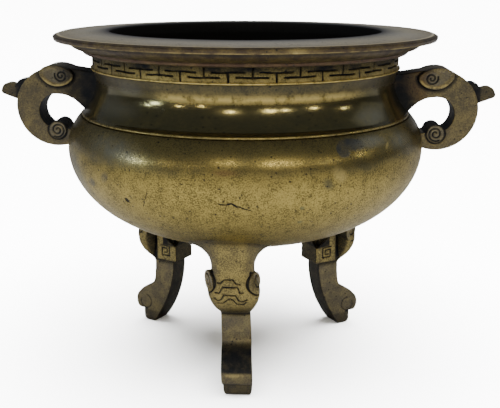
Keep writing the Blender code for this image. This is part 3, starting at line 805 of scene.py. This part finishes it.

# %% Where grime and painted shade lie on a handle, and where it is rubbed or painted bright
from_eye = np.hypot(x - RING_X, z - RING_Z + EYE_DROP)
from_ring = np.hypot(x - RING_X, z - RING_Z)
flat = ease((facing_side - 0.45) / 0.3)
# Painted shade on the walls of the hole in the ring
hole_wall = (1 - flat) * (from_eye < EYE_RADIUS + 0.002) * 0.97
# Painted shade on the rounded sides, where they turn away
rounding = (1 - ease((facing_side - 0.35) / 0.55)) * (sideways > HORN_WIDTH / 2 + 0.001) * 0.45
on_horn = (x > RING_X + 0.011) * (sideways < HORN_WIDTH / 2 + 0.0008)
on_horn = on_horn * (z > RING_Z) * (from_ring > 0.0205)
# Painted shade on the horn, darkest on its inner lobe
horn_dark = on_horn * (0.48 + 0.5 * (1 - ease((x - RING_X - 0.0222) / 0.0015)))
brow_shade = ease((0.003 - edge_gap) / 0.0022) * face * (sideways < half + 0.001)
brow_shade = brow_shade * (z < 0.1555) * 0.8
handle_grime = np.max([hole_wall, rounding, horn_dark, brow_shade], axis=0)
brow_rim = on_brow * bump_at(edge_gap, 0.0007, 0.0006) * ease((0.154 - z) / 0.003)
# Painted highlight on the horn's upward faces
horn_tip = ease((normals[:, 2] - 0.2) / 0.4) * on_horn * (x > RING_X + 0.0232) * 0.5
# Rubbed brass on the brow's lower rim, with the horn's painted highlight
handle_wear = np.maximum(brow_rim, horn_tip) * 0.55
on_pillow = on_brow * ease((edge_gap - 0.0012) / 0.0015)
print("grimy points on a handle:", int((handle_grime > 0.5).sum()))

# %% One handle on each side
SHARP_FROM = radians(38)
handles = [own_copy(handle, name, Matrix.Rotation(direction, 4, "Z"))
           for name, direction in (("handle_right", 0.0), ("handle_left", pi))]
bpy.data.objects.remove(handle)
for obj in (vessel, band):
    pick(obj)
    bpy.ops.object.shade_smooth_by_angle(angle=SHARP_FROM)
print("handles:", [obj.name for obj in handles])

# %% [markdown]
# ## The pieces
#
# Everything here is one casting on one body.

# %% The body of every piece, with the model's own part hidden
pieces = [vessel, band] + legs + handles
for piece in pieces:
    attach(piece, "root")
    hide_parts("censer")
print("pieces:", [piece.name for piece in pieces])

# %% [markdown]
# ## Where wear, grime, soot and painted light lie
#
# Old bronze is never one colour. Edges that hands and cloths reach are brassy, hollows hold
# dark wax and dust, the rim has gone a soft grey-brown and the inside is sooty. Besides these,
# shade is painted into recesses, under ledges and on faces turned away, and a few highlights
# and a reflection are painted bright. A material alone can't know where these places are, so
# each point of the mesh is given a few numbers from 0 to 1 that say how worn or painted bright,
# how grimy or painted in shade, how sooty, brown, grey, polished or rusty it is. Fine speckle is
# left to the material.

# %% Give every piece its numbers
LAYERS = ("wear", "grime", "soot", "brown", "grey", "shine", "rust")


def paint(obj, **layers):
    """Store each layer as a point attribute, with zeros for the ones not named."""
    for name in LAYERS:
        attribute = obj.data.attributes.new(name, "FLOAT", "POINT")
        values = np.clip(layers.get(name, np.zeros(len(obj.data.vertices))), 0, 1)
        attribute.data.foreach_set("value", values.astype(np.float32))


# %% The vessel's worn edges and its sooty inside
x, y, z = read_points(vessel).T
radius, angle = np.hypot(x, y), np.arctan2(y, x)


def edge_line(across, up, width):
    """A soft line all round the vessel, along one edge of its outline."""
    return bump_at(np.hypot(radius - across, z - up), 0, width)


uneven = 0.72 + waver((0.16, 7, angle, 0.3), (0.12, 17, angle, 1.9), (0.1, 43, angle, 0.8),
                      (0.08, 97, angle, 2.2))
edges = edge_line(RIM_RADIUS - 0.0026, RIM_TOP_Z + 0.0003, 0.0003)
edges += edge_line(RIM_RADIUS - 0.0003, RIM_Z + 0.0008, 0.0003) * 0.8
edges += edge_line(NECK_RADIUS + 0.0009, BAND_Z + 0.0005, 0.0006) * 1.3
edges += edge_line(RIDGE_RADIUS, RIDGE_Z - 0.0003, 0.00035) * 0.75
rim_edge = (radius > RIM_RADIUS - 0.001) * (z > RIM_Z + 0.0008) * (z < RIM_TOP_Z)
edges += 0.5 * bump_at(angle, radians(-74.2), 0.045) * rim_edge
wall_heights = [0.06, 0.0735, 0.085, EQUATOR_Z, RIDGE_Z, WAIST_Z, BAND_Z, MOULDING_Z, RIM_Z]
wall_radii = [0.0, 0.03, 0.069, 0.0925, 0.0845, 0.0767, 0.0785, 0.0785, 0.074]
soot = radius < np.interp(z, wall_heights, wall_radii)
soot = soot * (z > EQUATOR_Z - BELLY_LOWER + 0.0022) * 1.0
soot = np.maximum(soot, (radius < OPENING_RADIUS + 0.0003) * (z > LIP_Z - 0.0045))
clean = 1 - (soot > 0)
print("sooty points:", int((soot > 0.5).sum()))

# %% Its brown mouldings, grey rim, patina and polish, with painted shade and a painted reflection
rim_top = ease((z - RIM_TOP_Z - 0.00005) / 0.0003) * (radius > OPENING_RADIUS + 0.0002)
moulding = ease((z - MOULDING_Z + 0.0003) / 0.0004) * (1 - rim_top) * clean
# Painted shade: a thin dark line under the ridge
ledge = bump_at(z, RIDGE_Z - 0.0019, 0.0005) * (radius > 0.0835)
# The hollow just under the band is painted darker
under_band = ease((z - BAND_Z + 0.0066) / 0.0022) * (z < BAND_Z)
polished = ease((z - RIDGE_Z + 0.0002) / 0.0006) * (1 - ease((z - BAND_Z + 0.0005) / 0.001))
ragged = z + waver((0.0012, 5, angle, 0.0), (0.0009, 13, angle, 1.0), (0.0005, 37, angle, 2.0))
patina = ease((ragged - 0.118) / 0.005) * (z < RIDGE_Z) * 0.62
# Painted reflection of the paper: a bright strip round the front of the neck's hollow
strip = bump_at(z, 0.152, 0.002) * ease((angle + radians(122)) / 0.2)
strip = strip * ease((radians(-38) - angle) / 0.3)
bead = bump_at(z, MOULDING_Z + 0.0011, 0.0007) * (radius > 0.084)
# Painted shade under the rim
under_rim = ease((z - RIM_Z + 0.0016) / 0.001) * (z < RIM_Z + 0.0008) * 0.5
paint(vessel, wear=(edges * uneven + strip * 0.85) * clean,
      grime=0.75 * ledge + under_rim + under_band * 0.45, soot=soot,
      brown=moulding + under_band * 0.45, grey=rim_top,
      shine=np.maximum(polished - strip * 0.9 - under_band * 0.3, patina),
      rust=bead * 0.3 + moulding * 0.12)
print("vessel painted; grey points on the rim:", int((rim_top > 0.5).sum()))

# %% The band: black strokes, and painted shade under the moulding
x, y, z = read_points(band).T
angle = np.arctan2(y, x)
# Painted shade on the band's upper part, under the moulding
shade_under_moulding = 0.95 + waver((0.18, 11, angle, 0.0), (0.16, 29, angle, 1.0))
shade_under_moulding = ease((z - BAND_Z - 0.0032) / 0.0034) * shade_under_moulding
rub = 0.45 + waver((0.2, 9, angle, 0.5), (0.15, 31, angle, 2.0))
rub = (1 - ease((z - BAND_Z - 0.001) / 0.003)) * rub
paint(band, grime=np.maximum(fret_grooves * 1.6, shade_under_moulding * 0.8),
      wear=rub * (1 - fret_grooves) * 0.5,
      shine=np.full(len(x), 0.3), brown=np.full(len(x), 0.25))
print("dusty points on the band:", int((shade_under_moulding > 0.5).sum()))

# %% Legs and handles: grime in the carving, and painted shade where they meet the bowl
for obj in legs:
    paint(obj, grime=leg_grime, brown=leg_brown, grey=leg_grey, wear=toe_rub_and_highlight * 0.35)
bowl_heights, bowl_radii = [0.12, RIDGE_Z, 0.15, 0.16], [0.094, 0.087, 0.079, 0.08]
for obj in handles:
    x, y, z = read_points(obj).T
    away = np.abs(x) - np.interp(z, bowl_heights, bowl_radii)
    left = obj.name == "handle_left"
    reach = 0.021 if left else 0.011
    # Painted shade at the handle's root, where it grows out of the neck
    root = (1 - ease((away - 0.002) / reach)) * (z > RIDGE_Z - 0.006)
    arm = ease((0.0985 - np.abs(x)) / 0.006) * (z > RIDGE_Z + 0.006)
    paint(obj, grime=np.max([handle_grooves * 1.3, 0.97 * root, handle_grime], axis=0),
          wear=handle_wear, brown=0.8 + 0.06 * left + 0.14 * arm,
          grey=0.06 * (1 - arm) + 0.04 * on_pillow, shine=0.4 * on_pillow,
          rust=0.22 * arm * (1 - left))
print("layers:", ", ".join(LAYERS))

# %% [markdown]
# ## The bronze
#
# Seen close, the surface is a fine pepper of brassy and olive grains, about half a
# millimetre across, under larger clouds of patina, with small dark pits. It could be painted
# as an image. A node material does it with noise at three scales, read from the object's own
# coordinates, so the grain runs on unbroken from the bowl into the legs and handles. The
# painted layers are then laid over it one after the other.

# %% Short ways to add and join nodes
bronze = bpy.data.materials.new("aged_bronze")
bronze.use_nodes = True
tree = bronze.node_tree
shader = tree.nodes["Principled BSDF"]


def feed(value, socket):
    """Join an output to a socket, or set the socket to a plain value."""
    if isinstance(value, bpy.types.NodeSocket):
        tree.links.new(value, socket)
    else:
        socket.default_value = value


def node(kind, inputs=(), **settings):
    """Add a node, set it up and feed its inputs, each by name or number."""
    new = tree.nodes.new(kind)
    for key, value in settings.items():
        setattr(new, key, value)
    for key, value in dict(inputs).items():
        feed(value, new.inputs[key])
    return new


def maths(operation, first, second, clamp=False):
    inputs = {0: first, 1: second}
    return node("ShaderNodeMath", inputs, operation=operation, use_clamp=clamp).outputs[0]


def times(first, second, clamp=False):
    return maths("MULTIPLY", first, second, clamp)


def plus(first, second, clamp=False):
    return maths("ADD", first, second, clamp)


def minus(first, second, clamp=False):
    return maths("SUBTRACT", first, second, clamp)


def larger(first, second):
    return maths("MAXIMUM", first, second)


def blend_colour(share, first, second):
    inputs = {"Factor": share, "A": first, "B": second}
    return node("ShaderNodeMix", inputs, data_type="RGBA").outputs["Result"]


def spread(value, low, high, to_low=0.0, to_high=1.0):
    """Stretch a value from one range to another and stop at its ends."""
    inputs = {"Value": value, "From Min": low, "From Max": high, "To Min": to_low,
              "To Max": to_high}
    return node("ShaderNodeMapRange", inputs, interpolation_type="SMOOTHSTEP").outputs["Result"]


place = node("ShaderNodeTexCoord").outputs["Object"]


def noise(scale, detail, roughness=0.5, warp=0.0):
    inputs = {"Vector": place, "Scale": scale, "Detail": detail, "Roughness": roughness,
              "Distortion": warp}
    return node("ShaderNodeTexNoise", inputs).outputs["Fac"]


def layer(name):
    return node("ShaderNodeAttribute", attribute_name=name).outputs["Fac"]


# %% Grain, clouds and pits
CLOUD_SCALE, MOTTLE_SCALE, GRAIN_SCALE, PIT_SCALE = 30.0, 160.0, 1500.0, 420.0
clouds = noise(CLOUD_SCALE, 4.0, 0.55, 0.4)
mottle = noise(MOTTLE_SCALE, 4.0, 0.6)
grain = noise(GRAIN_SCALE, 3.0, 0.7)
cells = node("ShaderNodeTexVoronoi", {"Vector": place, "Scale": PIT_SCALE}, feature="F1")
some = spread(noise(240.0, 2.0), 0.52, 0.6)
pits = times(spread(cells.outputs["Distance"], 0.3, 0.1), some)
peppered = plus(times(grain, 1.1), times(mottle, 0.35))
brassy = spread(plus(peppered, times(clouds, 0.25)), 0.69, 0.97)
print("bronze: grain, clouds and pits ready")

# %% [markdown]
# ## The marks that make it this burner
#
# A dark slate patch, a long casting flaw, scratches, pits, a rubbed spot and a bluish haze lie
# at places of their own on the bowl. The rubbed spots are partly painted highlights, the haze is
# partly a painted sheen, and the shade marks are painted shade. They could be painted by hand on
# an image. Here each one is an oval on the bowl's skin. A Mapping node carries every point of
# space into the oval's own measure, where a distance of 1 is its rim, and what lies inside gets
# the mark. For all but the finest marks noise shakes the points a little first, so that the rims
# look ragged.

# %% Where the marks lie
# Each is: angle in degrees, height, length and width in mm, turn in degrees, softness, strength
MARKS = {
    "slate": [(-54.8, 131.6, 9.6, 4, -6, 0.6, 0.95), (-58.2, 129.8, 4, 4.4, 30, 0.75, 0.95),
              (-139.8, 108.7, 5, 3.4, 20, 0.3, 0.6), (-131.9, 113.8, 5.2, 3.2, 40, 0.2, 0.6)],
    # The haze ovals: a grey-blue patina together with a painted sheen
    "haze_and_sheen": [(-130, 128, 34, 10.5, 0, 0.1, 0.72), (-138, 145, 28, 9, 0, 0.1, 0.5),
             (-131, 154, 13, 5, 0, 0.2, 0.6), (-41, 141, 16, 7, 0, 0.2, 0.5),
             (-152, 110, 18, 22, 0, 0.1, 0.6), (-48, 131.6, 17, 4.8, 0, 0.2, 0.85),
             (-31, 129, 18, 7.5, 0, 0.1, 0.7)],
    "dark": [(-124.1, 104.2, 1.9, 1.7, 0, 0.55, 0.9), (-131.2, 88.8, 2, 1.5, 0, 0.4, 0.8),
             (-75, 117.9, 0.9, 0.8, 0, 0.4, 0.8), (-78.8, 122.1, 0.8, 0.7, 0, 0.4, 0.8),
             (-83.8, 106.8, 0.9, 0.8, 0, 0.4, 0.7), (-115.2, 146.3, 1.7, 1.3, 0, 0.3, 0.7),
             (-93.3, 107.3, 3.6, 0.5, -9, 0.4, 0.95), (-91.5, 107.7, 2.2, 0.69, 8, 0.4, 1),
             (-90, 107.1, 3.4, 0.69, -35, 0.4, 1), (-88, 105.8, 3.4, 0.5, -27, 0.4, 0.95),
             (-86.1, 104.7, 3.2, 0.42, -22, 0.4, 0.9), (-89.9, 106.7, 2.8, 0.4, -50, 0.3, 0.6),
             (-116, 108.9, 4.4, 0.36, 66, 0.3, 0.75), (-117.7, 104, 3.6, 0.36, 63, 0.3, 0.7)],
    # Rubbed spots, partly painted highlights
    "rubbed_and_highlit": [(-60.3, 119.4, 6.6, 4.2, -42, 0.3, 0.42), (-40.7, 128.7, 3, 1.2, 35, 0.3, 0.5)],
    "verdigris": [(-70.8, 104.7, 1.7, 1.4, 0, 0.2, 0.6), (-70.3, 96.8, 1.7, 1.4, 0, 0.2, 0.6)],
    "shade": [(-63.8, 115.4, 5, 3.2, -50, 0.2, 0.75), (-52, 122, 9, 3.5, -20, 0.05, 0.6)],
    "tarnish": [(-92.5, 122, 9, 2.2, 0, 0.1, 0.45)],
}
print("marks:", sum(len(kind) for kind in MARKS.values()))

# %% An oval on the bowl
SHAKE, SHAKE_SCALE, FINE_WIDTH, MARK_DEPTH = 0.0012, 450.0, 0.7, 0.006
side_view = lower_belly(BELLY_RADIUS, BELLY_LOWER, 80)
side_view += upper_belly(BELLY_RADIUS, BELLY_TOP_RADIUS, 20)
side_view += shoulder(SHOULDER_RADIUS, WAIST_RADIUS, 20)
side_radii, side_heights = zip(*side_view)
shaking = node("ShaderNodeTexNoise", {"Vector": place, "Scale": SHAKE_SCALE})
shaken = node("ShaderNodeVectorMath", operation="MULTIPLY_ADD",
              inputs={0: shaking.outputs["Color"], 1: (SHAKE,) * 3, 2: place})


def mark(angle, height, length, width, turn, softness, strength):
    """A share from 0 to strength inside an oval that lies on the bowl."""
    angle, height, turn, step = radians(angle), height / 1000, radians(turn), 0.0005
    out, above = (float(np.interp(h, side_heights, side_radii)) for h in (height, height + step))
    slope = above - out
    sideways = Vector((-sin(angle), cos(angle), 0))
    upward = Vector((slope * cos(angle), slope * sin(angle), step)).normalized()
    along = sideways * cos(turn) + upward * sin(turn)
    across = upward * cos(turn) - sideways * sin(turn)
    axes = Matrix((along, across, along.cross(across))).transposed()
    centre = Vector((out * cos(angle), out * sin(angle), height))
    fine = width < FINE_WIDTH
    oval = node("ShaderNodeMapping", vector_type="TEXTURE", inputs={
        "Vector": place if fine else shaken.outputs[0],
        "Location": centre if fine else centre + Vector((SHAKE / 2,) * 3),
        "Rotation": axes.to_euler(), "Scale": (length / 1000, width / 1000, MARK_DEPTH)})
    reach = node("ShaderNodeVectorMath", {0: oval.outputs[0]}, operation="LENGTH")
    return spread(reach.outputs["Value"], 1.0, softness, 0.0, strength)


def all_marks(kind):
    total = 0.0
    for values in MARKS[kind]:
        total = larger(total, mark(*values))
    return total


# %% Lay the colours over one another
OLIVE, BRASS = (0.13, 0.104, 0.034, 1), (0.43, 0.33, 0.096, 1)
PATINA, SLATE = (0.12, 0.11, 0.056, 1), (0.04, 0.047, 0.053, 1)
BROWN, GREY, RUST = (0.043, 0.035, 0.024, 1), (0.5, 0.49, 0.46, 1), (0.15, 0.072, 0.044, 1)
BRIGHT, GRIME_AND_SHADE, SOOT = (0.7, 0.55, 0.2, 1), (0.01, 0.012, 0.017, 1), (0.026, 0.026, 0.028, 1)
VERDIGRIS, HAZE_AND_SHEEN = (0.09, 0.12, 0.07, 1), (0.19, 0.194, 0.16, 1)
wear, grime, soot, brown, grey, shine, rust = (layer(name) for name in LAYERS)
slate, tarnish, dark_marks, haze_and_sheen = (all_marks(k) for k in ("slate", "tarnish", "dark", "haze_and_sheen"))
# Rubbed brass, together with painted highlights and a painted reflection
rubbed_and_highlit = times(wear, spread(noise(300.0, 3.0), 0.3, 0.55), clamp=True)
rubbed_and_highlit = larger(rubbed_and_highlit, all_marks("rubbed_and_highlit"))
# Grime, together with painted shade
dirt_and_shade = spread(noise(220.0, 3.0), 0.25, 0.6, 0.75, 1.0)
dirt_and_shade = times(larger(grime, dark_marks), dirt_and_shade, clamp=True)
colour = blend_colour(brassy, OLIVE, BRASS)
coats = ((times(shine, spread(mottle, 0.3, 0.7, 0.95, 0.8)), PATINA),
         (all_marks("shade"), PATINA),
         (times(haze_and_sheen, spread(mottle, 0.3, 0.65, 1.0, 0.65)), HAZE_AND_SHEEN),
         (times(slate, spread(mottle, 0.3, 0.65, 1.0, 0.7)), SLATE),
         (spread(clouds, 0.4, 0.75, 0.0, 0.16), BROWN),
         (times(brown, spread(mottle, 0.3, 0.7, 0.98, 0.76)), BROWN),
         (times(grey, spread(clouds, 0.2, 0.8, 0.95, 0.7)), GREY),
         (larger(rust, tarnish), RUST), (all_marks("verdigris"), VERDIGRIS),
         (times(pits, 0.85), GRIME_AND_SHADE), (rubbed_and_highlit, BRIGHT), (dirt_and_shade, GRIME_AND_SHADE), (soot, SOOT))
for share, coat in coats:
    colour = blend_colour(share, colour, coat)
feed(colour, shader.inputs["Base Color"])
print("coats of colour:", len(coats))

# %% Metal, sheen and relief
dull = plus(times(grey, 0.8), times(brown, 0.21))
dull = plus(dull, plus(times(slate, 0.25), times(haze_and_sheen, 0.25)))
feed(minus(0.95, times(dull, minus(1.0, rubbed_and_highlit)), clamp=True), shader.inputs["Metallic"])
sheen = plus(spread(peppered, 0.45, 0.95, 0.46, 0.32), times(clouds, 0.08))
sheen = minus(sheen, spread(shine, 0.3, 1.0, 0.0, 0.26))
sheen = plus(sheen, times(dirt_and_shade, 0.25))
feed(plus(sheen, times(soot, 0.4), clamp=True), shader.inputs["Roughness"])
relief = minus(plus(times(grain, 0.35), times(mottle, 0.6)), pits)
relief = minus(relief, times(dark_marks, 1.5))
bump = node("ShaderNodeBump", {"Strength": minus(0.34, times(shine, 0.3)), "Distance": 0.0003,
                               "Height": relief})
feed(bump.outputs["Normal"], shader.inputs["Normal"])
for piece in pieces:
    piece.data.materials.clear()
    piece.data.materials.append(bronze)
print("bronze laid on", len(pieces), "pieces")

# %% [markdown]
# ## Floor and light
#
# The burner stands on white paper in a dim room: what faces down or out mirrors the paper,
# and what faces up mirrors the room. Lit as they are, both would mirror far too bright. So the
# camera sees one white, and mirror rays see a darker one, lighter near the feet. The soft
# shadow comes from a very wide sun that is linked to the paper alone. Two broad lamps light the
# bronze, and as they are hidden from mirror rays they leave no shine. The highlights come from
# a row of small lamps, each placed where its mirror image falls on the right spot of the neck.

# %% The paper floor
SEEN_PAPER = (0.93, 0.93, 0.93, 1)
NEAR_PAPER, FAR_PAPER = (0.092, 0.092, 0.092, 1), (0.04, 0.04, 0.042, 1)
bpy.ops.mesh.primitive_plane_add(size=60.0, location=(0, 0, 0))
floor = named("paper_floor")
pale = bpy.data.materials.new("white_paper")
pale.use_nodes = True
tree = pale.node_tree
paper = tree.nodes["Principled BSDF"]
paper.inputs["Roughness"].default_value = 1.0
paper.inputs["Specular IOR Level"].default_value = 0.0
spot = node("ShaderNodeVectorMath", operation="DISTANCE",
            inputs={0: node("ShaderNodeTexCoord").outputs["Object"], 1: (0.0, -0.22, 0.0)})
mirrored = blend_colour(spread(spot.outputs["Value"], 0.12, 0.62), NEAR_PAPER, FAR_PAPER)
seen = node("ShaderNodeLightPath").outputs["Is Camera Ray"]
feed(blend_colour(seen, mirrored, SEEN_PAPER), paper.inputs["Base Color"])
floor.data.materials.append(pale)
print("floor:", floor.name)

# %% The room: white past the paper, dim to everything else
SEEN_ROOM, HIGH_ROOM = (16.0, 16.0, 16.0, 1), (0.15, 0.165, 0.19, 1)
FRONT_ROOM, BACK_ROOM = (0.04, 0.042, 0.046, 1), (0.16, 0.16, 0.16, 1)
world = bpy.data.worlds.new("studio")
bpy.context.scene.world = world
world.use_nodes = True
tree = world.node_tree
way = node("ShaderNodeSeparateXYZ", {0: node("ShaderNodeTexCoord").outputs["Generated"]})
room = blend_colour(spread(way.outputs["Y"], -0.2, 0.9), FRONT_ROOM, BACK_ROOM)
room = blend_colour(spread(way.outputs["Z"], 0.0, 0.5), room, HIGH_ROOM)
seen = node("ShaderNodeLightPath").outputs["Is Camera Ray"]
feed(blend_colour(seen, room, SEEN_ROOM), tree.nodes["Background"].inputs["Color"])
print("world:", world.name)


# %% Broad soft lights that aren't mirrored, one of them for the paper alone
def area_light(name, place, target, size, power, mirrored=True):
    bpy.ops.object.light_add(type="AREA", location=place)
    light = bpy.context.object
    light.name = name
    light.data.size = size
    light.data.energy = power
    light.visible_glossy = mirrored
    light.rotation_euler = (Vector(target) - Vector(place)).to_track_quat("-Z", "Y").to_euler()
    return light


SUN_TILT, SUN_WIDTH, SUN_STRENGTH = radians(4), radians(80), 40
area_light("broad_top", (0.0, 0.1, 2.0), (0, 0, 0), 1.6, 45, mirrored=False)
bpy.ops.object.light_add(type="SUN", location=(0, 0, 3), rotation=(0, SUN_TILT, 0))
sun = bpy.context.object
sun.name = "light_on_the_paper"
sun.data.energy = SUN_STRENGTH
sun.data.angle = SUN_WIDTH
sun.visible_glossy = False
only_paper = bpy.data.collections.new("lit_by_the_sun")
only_paper.objects.link(floor)
sun.light_linking.receiver_collection = only_paper
area_light("front_fill", (-0.5, -2.0, 1.2), (0, 0, 0.1), 1.2, 25, mirrored=False)

# %% Small lamps for the highlights: direction and rise in degrees, size, power, tint
LAMP_WAY, GLINT_Z = 1.6, 0.148
WARM, COOL, PLAIN = (1.0, 0.89, 0.62), (0.8, 0.91, 1.0), (1.0, 1.0, 1.0)
LAMPS = ((112, 24, 0.8, 0.5, PLAIN), (-66.5, 9.5, 0.18, 2.4, COOL), (-74, 14, 0.06, 0.7, COOL),
         (-46.5, 14.5, 0.05, 0.7, WARM), (-29, 13, 0.05, 0.6, WARM), (-8, 26.5, 0.13, 2.2, WARM),
         (21.5, 24, 0.2, 3, WARM), (33, 22.5, 0.09, 1.4, WARM), (55, 18.5, 0.08, 1.2, WARM),
         (82, 19.5, 0.05, 0.7, WARM))
for turn, rise, size, power, tint in LAMPS:
    turn, rise = radians(turn), radians(rise)
    start = Vector((NECK_RADIUS * sin(turn / 2), -NECK_RADIUS * cos(turn / 2), GLINT_Z))
    way = Vector((cos(rise) * sin(turn), -cos(rise) * cos(turn), sin(rise)))
    lamp = area_light("lamp", start + LAMP_WAY * way, start, size, power)
    lamp.data.color = tint
print("lamps:", len(LAMPS))

# %% The camera, where the photographer stood
TURN, TILT, ROLL = radians(2.94), radians(15.45), radians(0.1)
REACH, HEIGHT = 0.4558, 0.2081
FILM_WIDTH, LENS, SHIFT_X = 36, 60.9, 0.0098
bpy.ops.object.camera_add(location=(REACH * sin(TURN), -REACH * cos(TURN), HEIGHT))
camera = bpy.context.object
camera.matrix_world = (Matrix.Translation(camera.location) @ Matrix.Rotation(TURN, 4, "Z")
                       @ Matrix.Rotation(pi / 2 - TILT, 4, "X") @ Matrix.Rotation(ROLL, 4, "Z"))
camera.data.sensor_width = FILM_WIDTH
camera.data.lens = LENS
camera.data.shift_x = SHIFT_X
camera.data.clip_start = 0.01
bpy.context.scene.camera = camera
print("camera:", [round(c, 3) for c in camera.location])
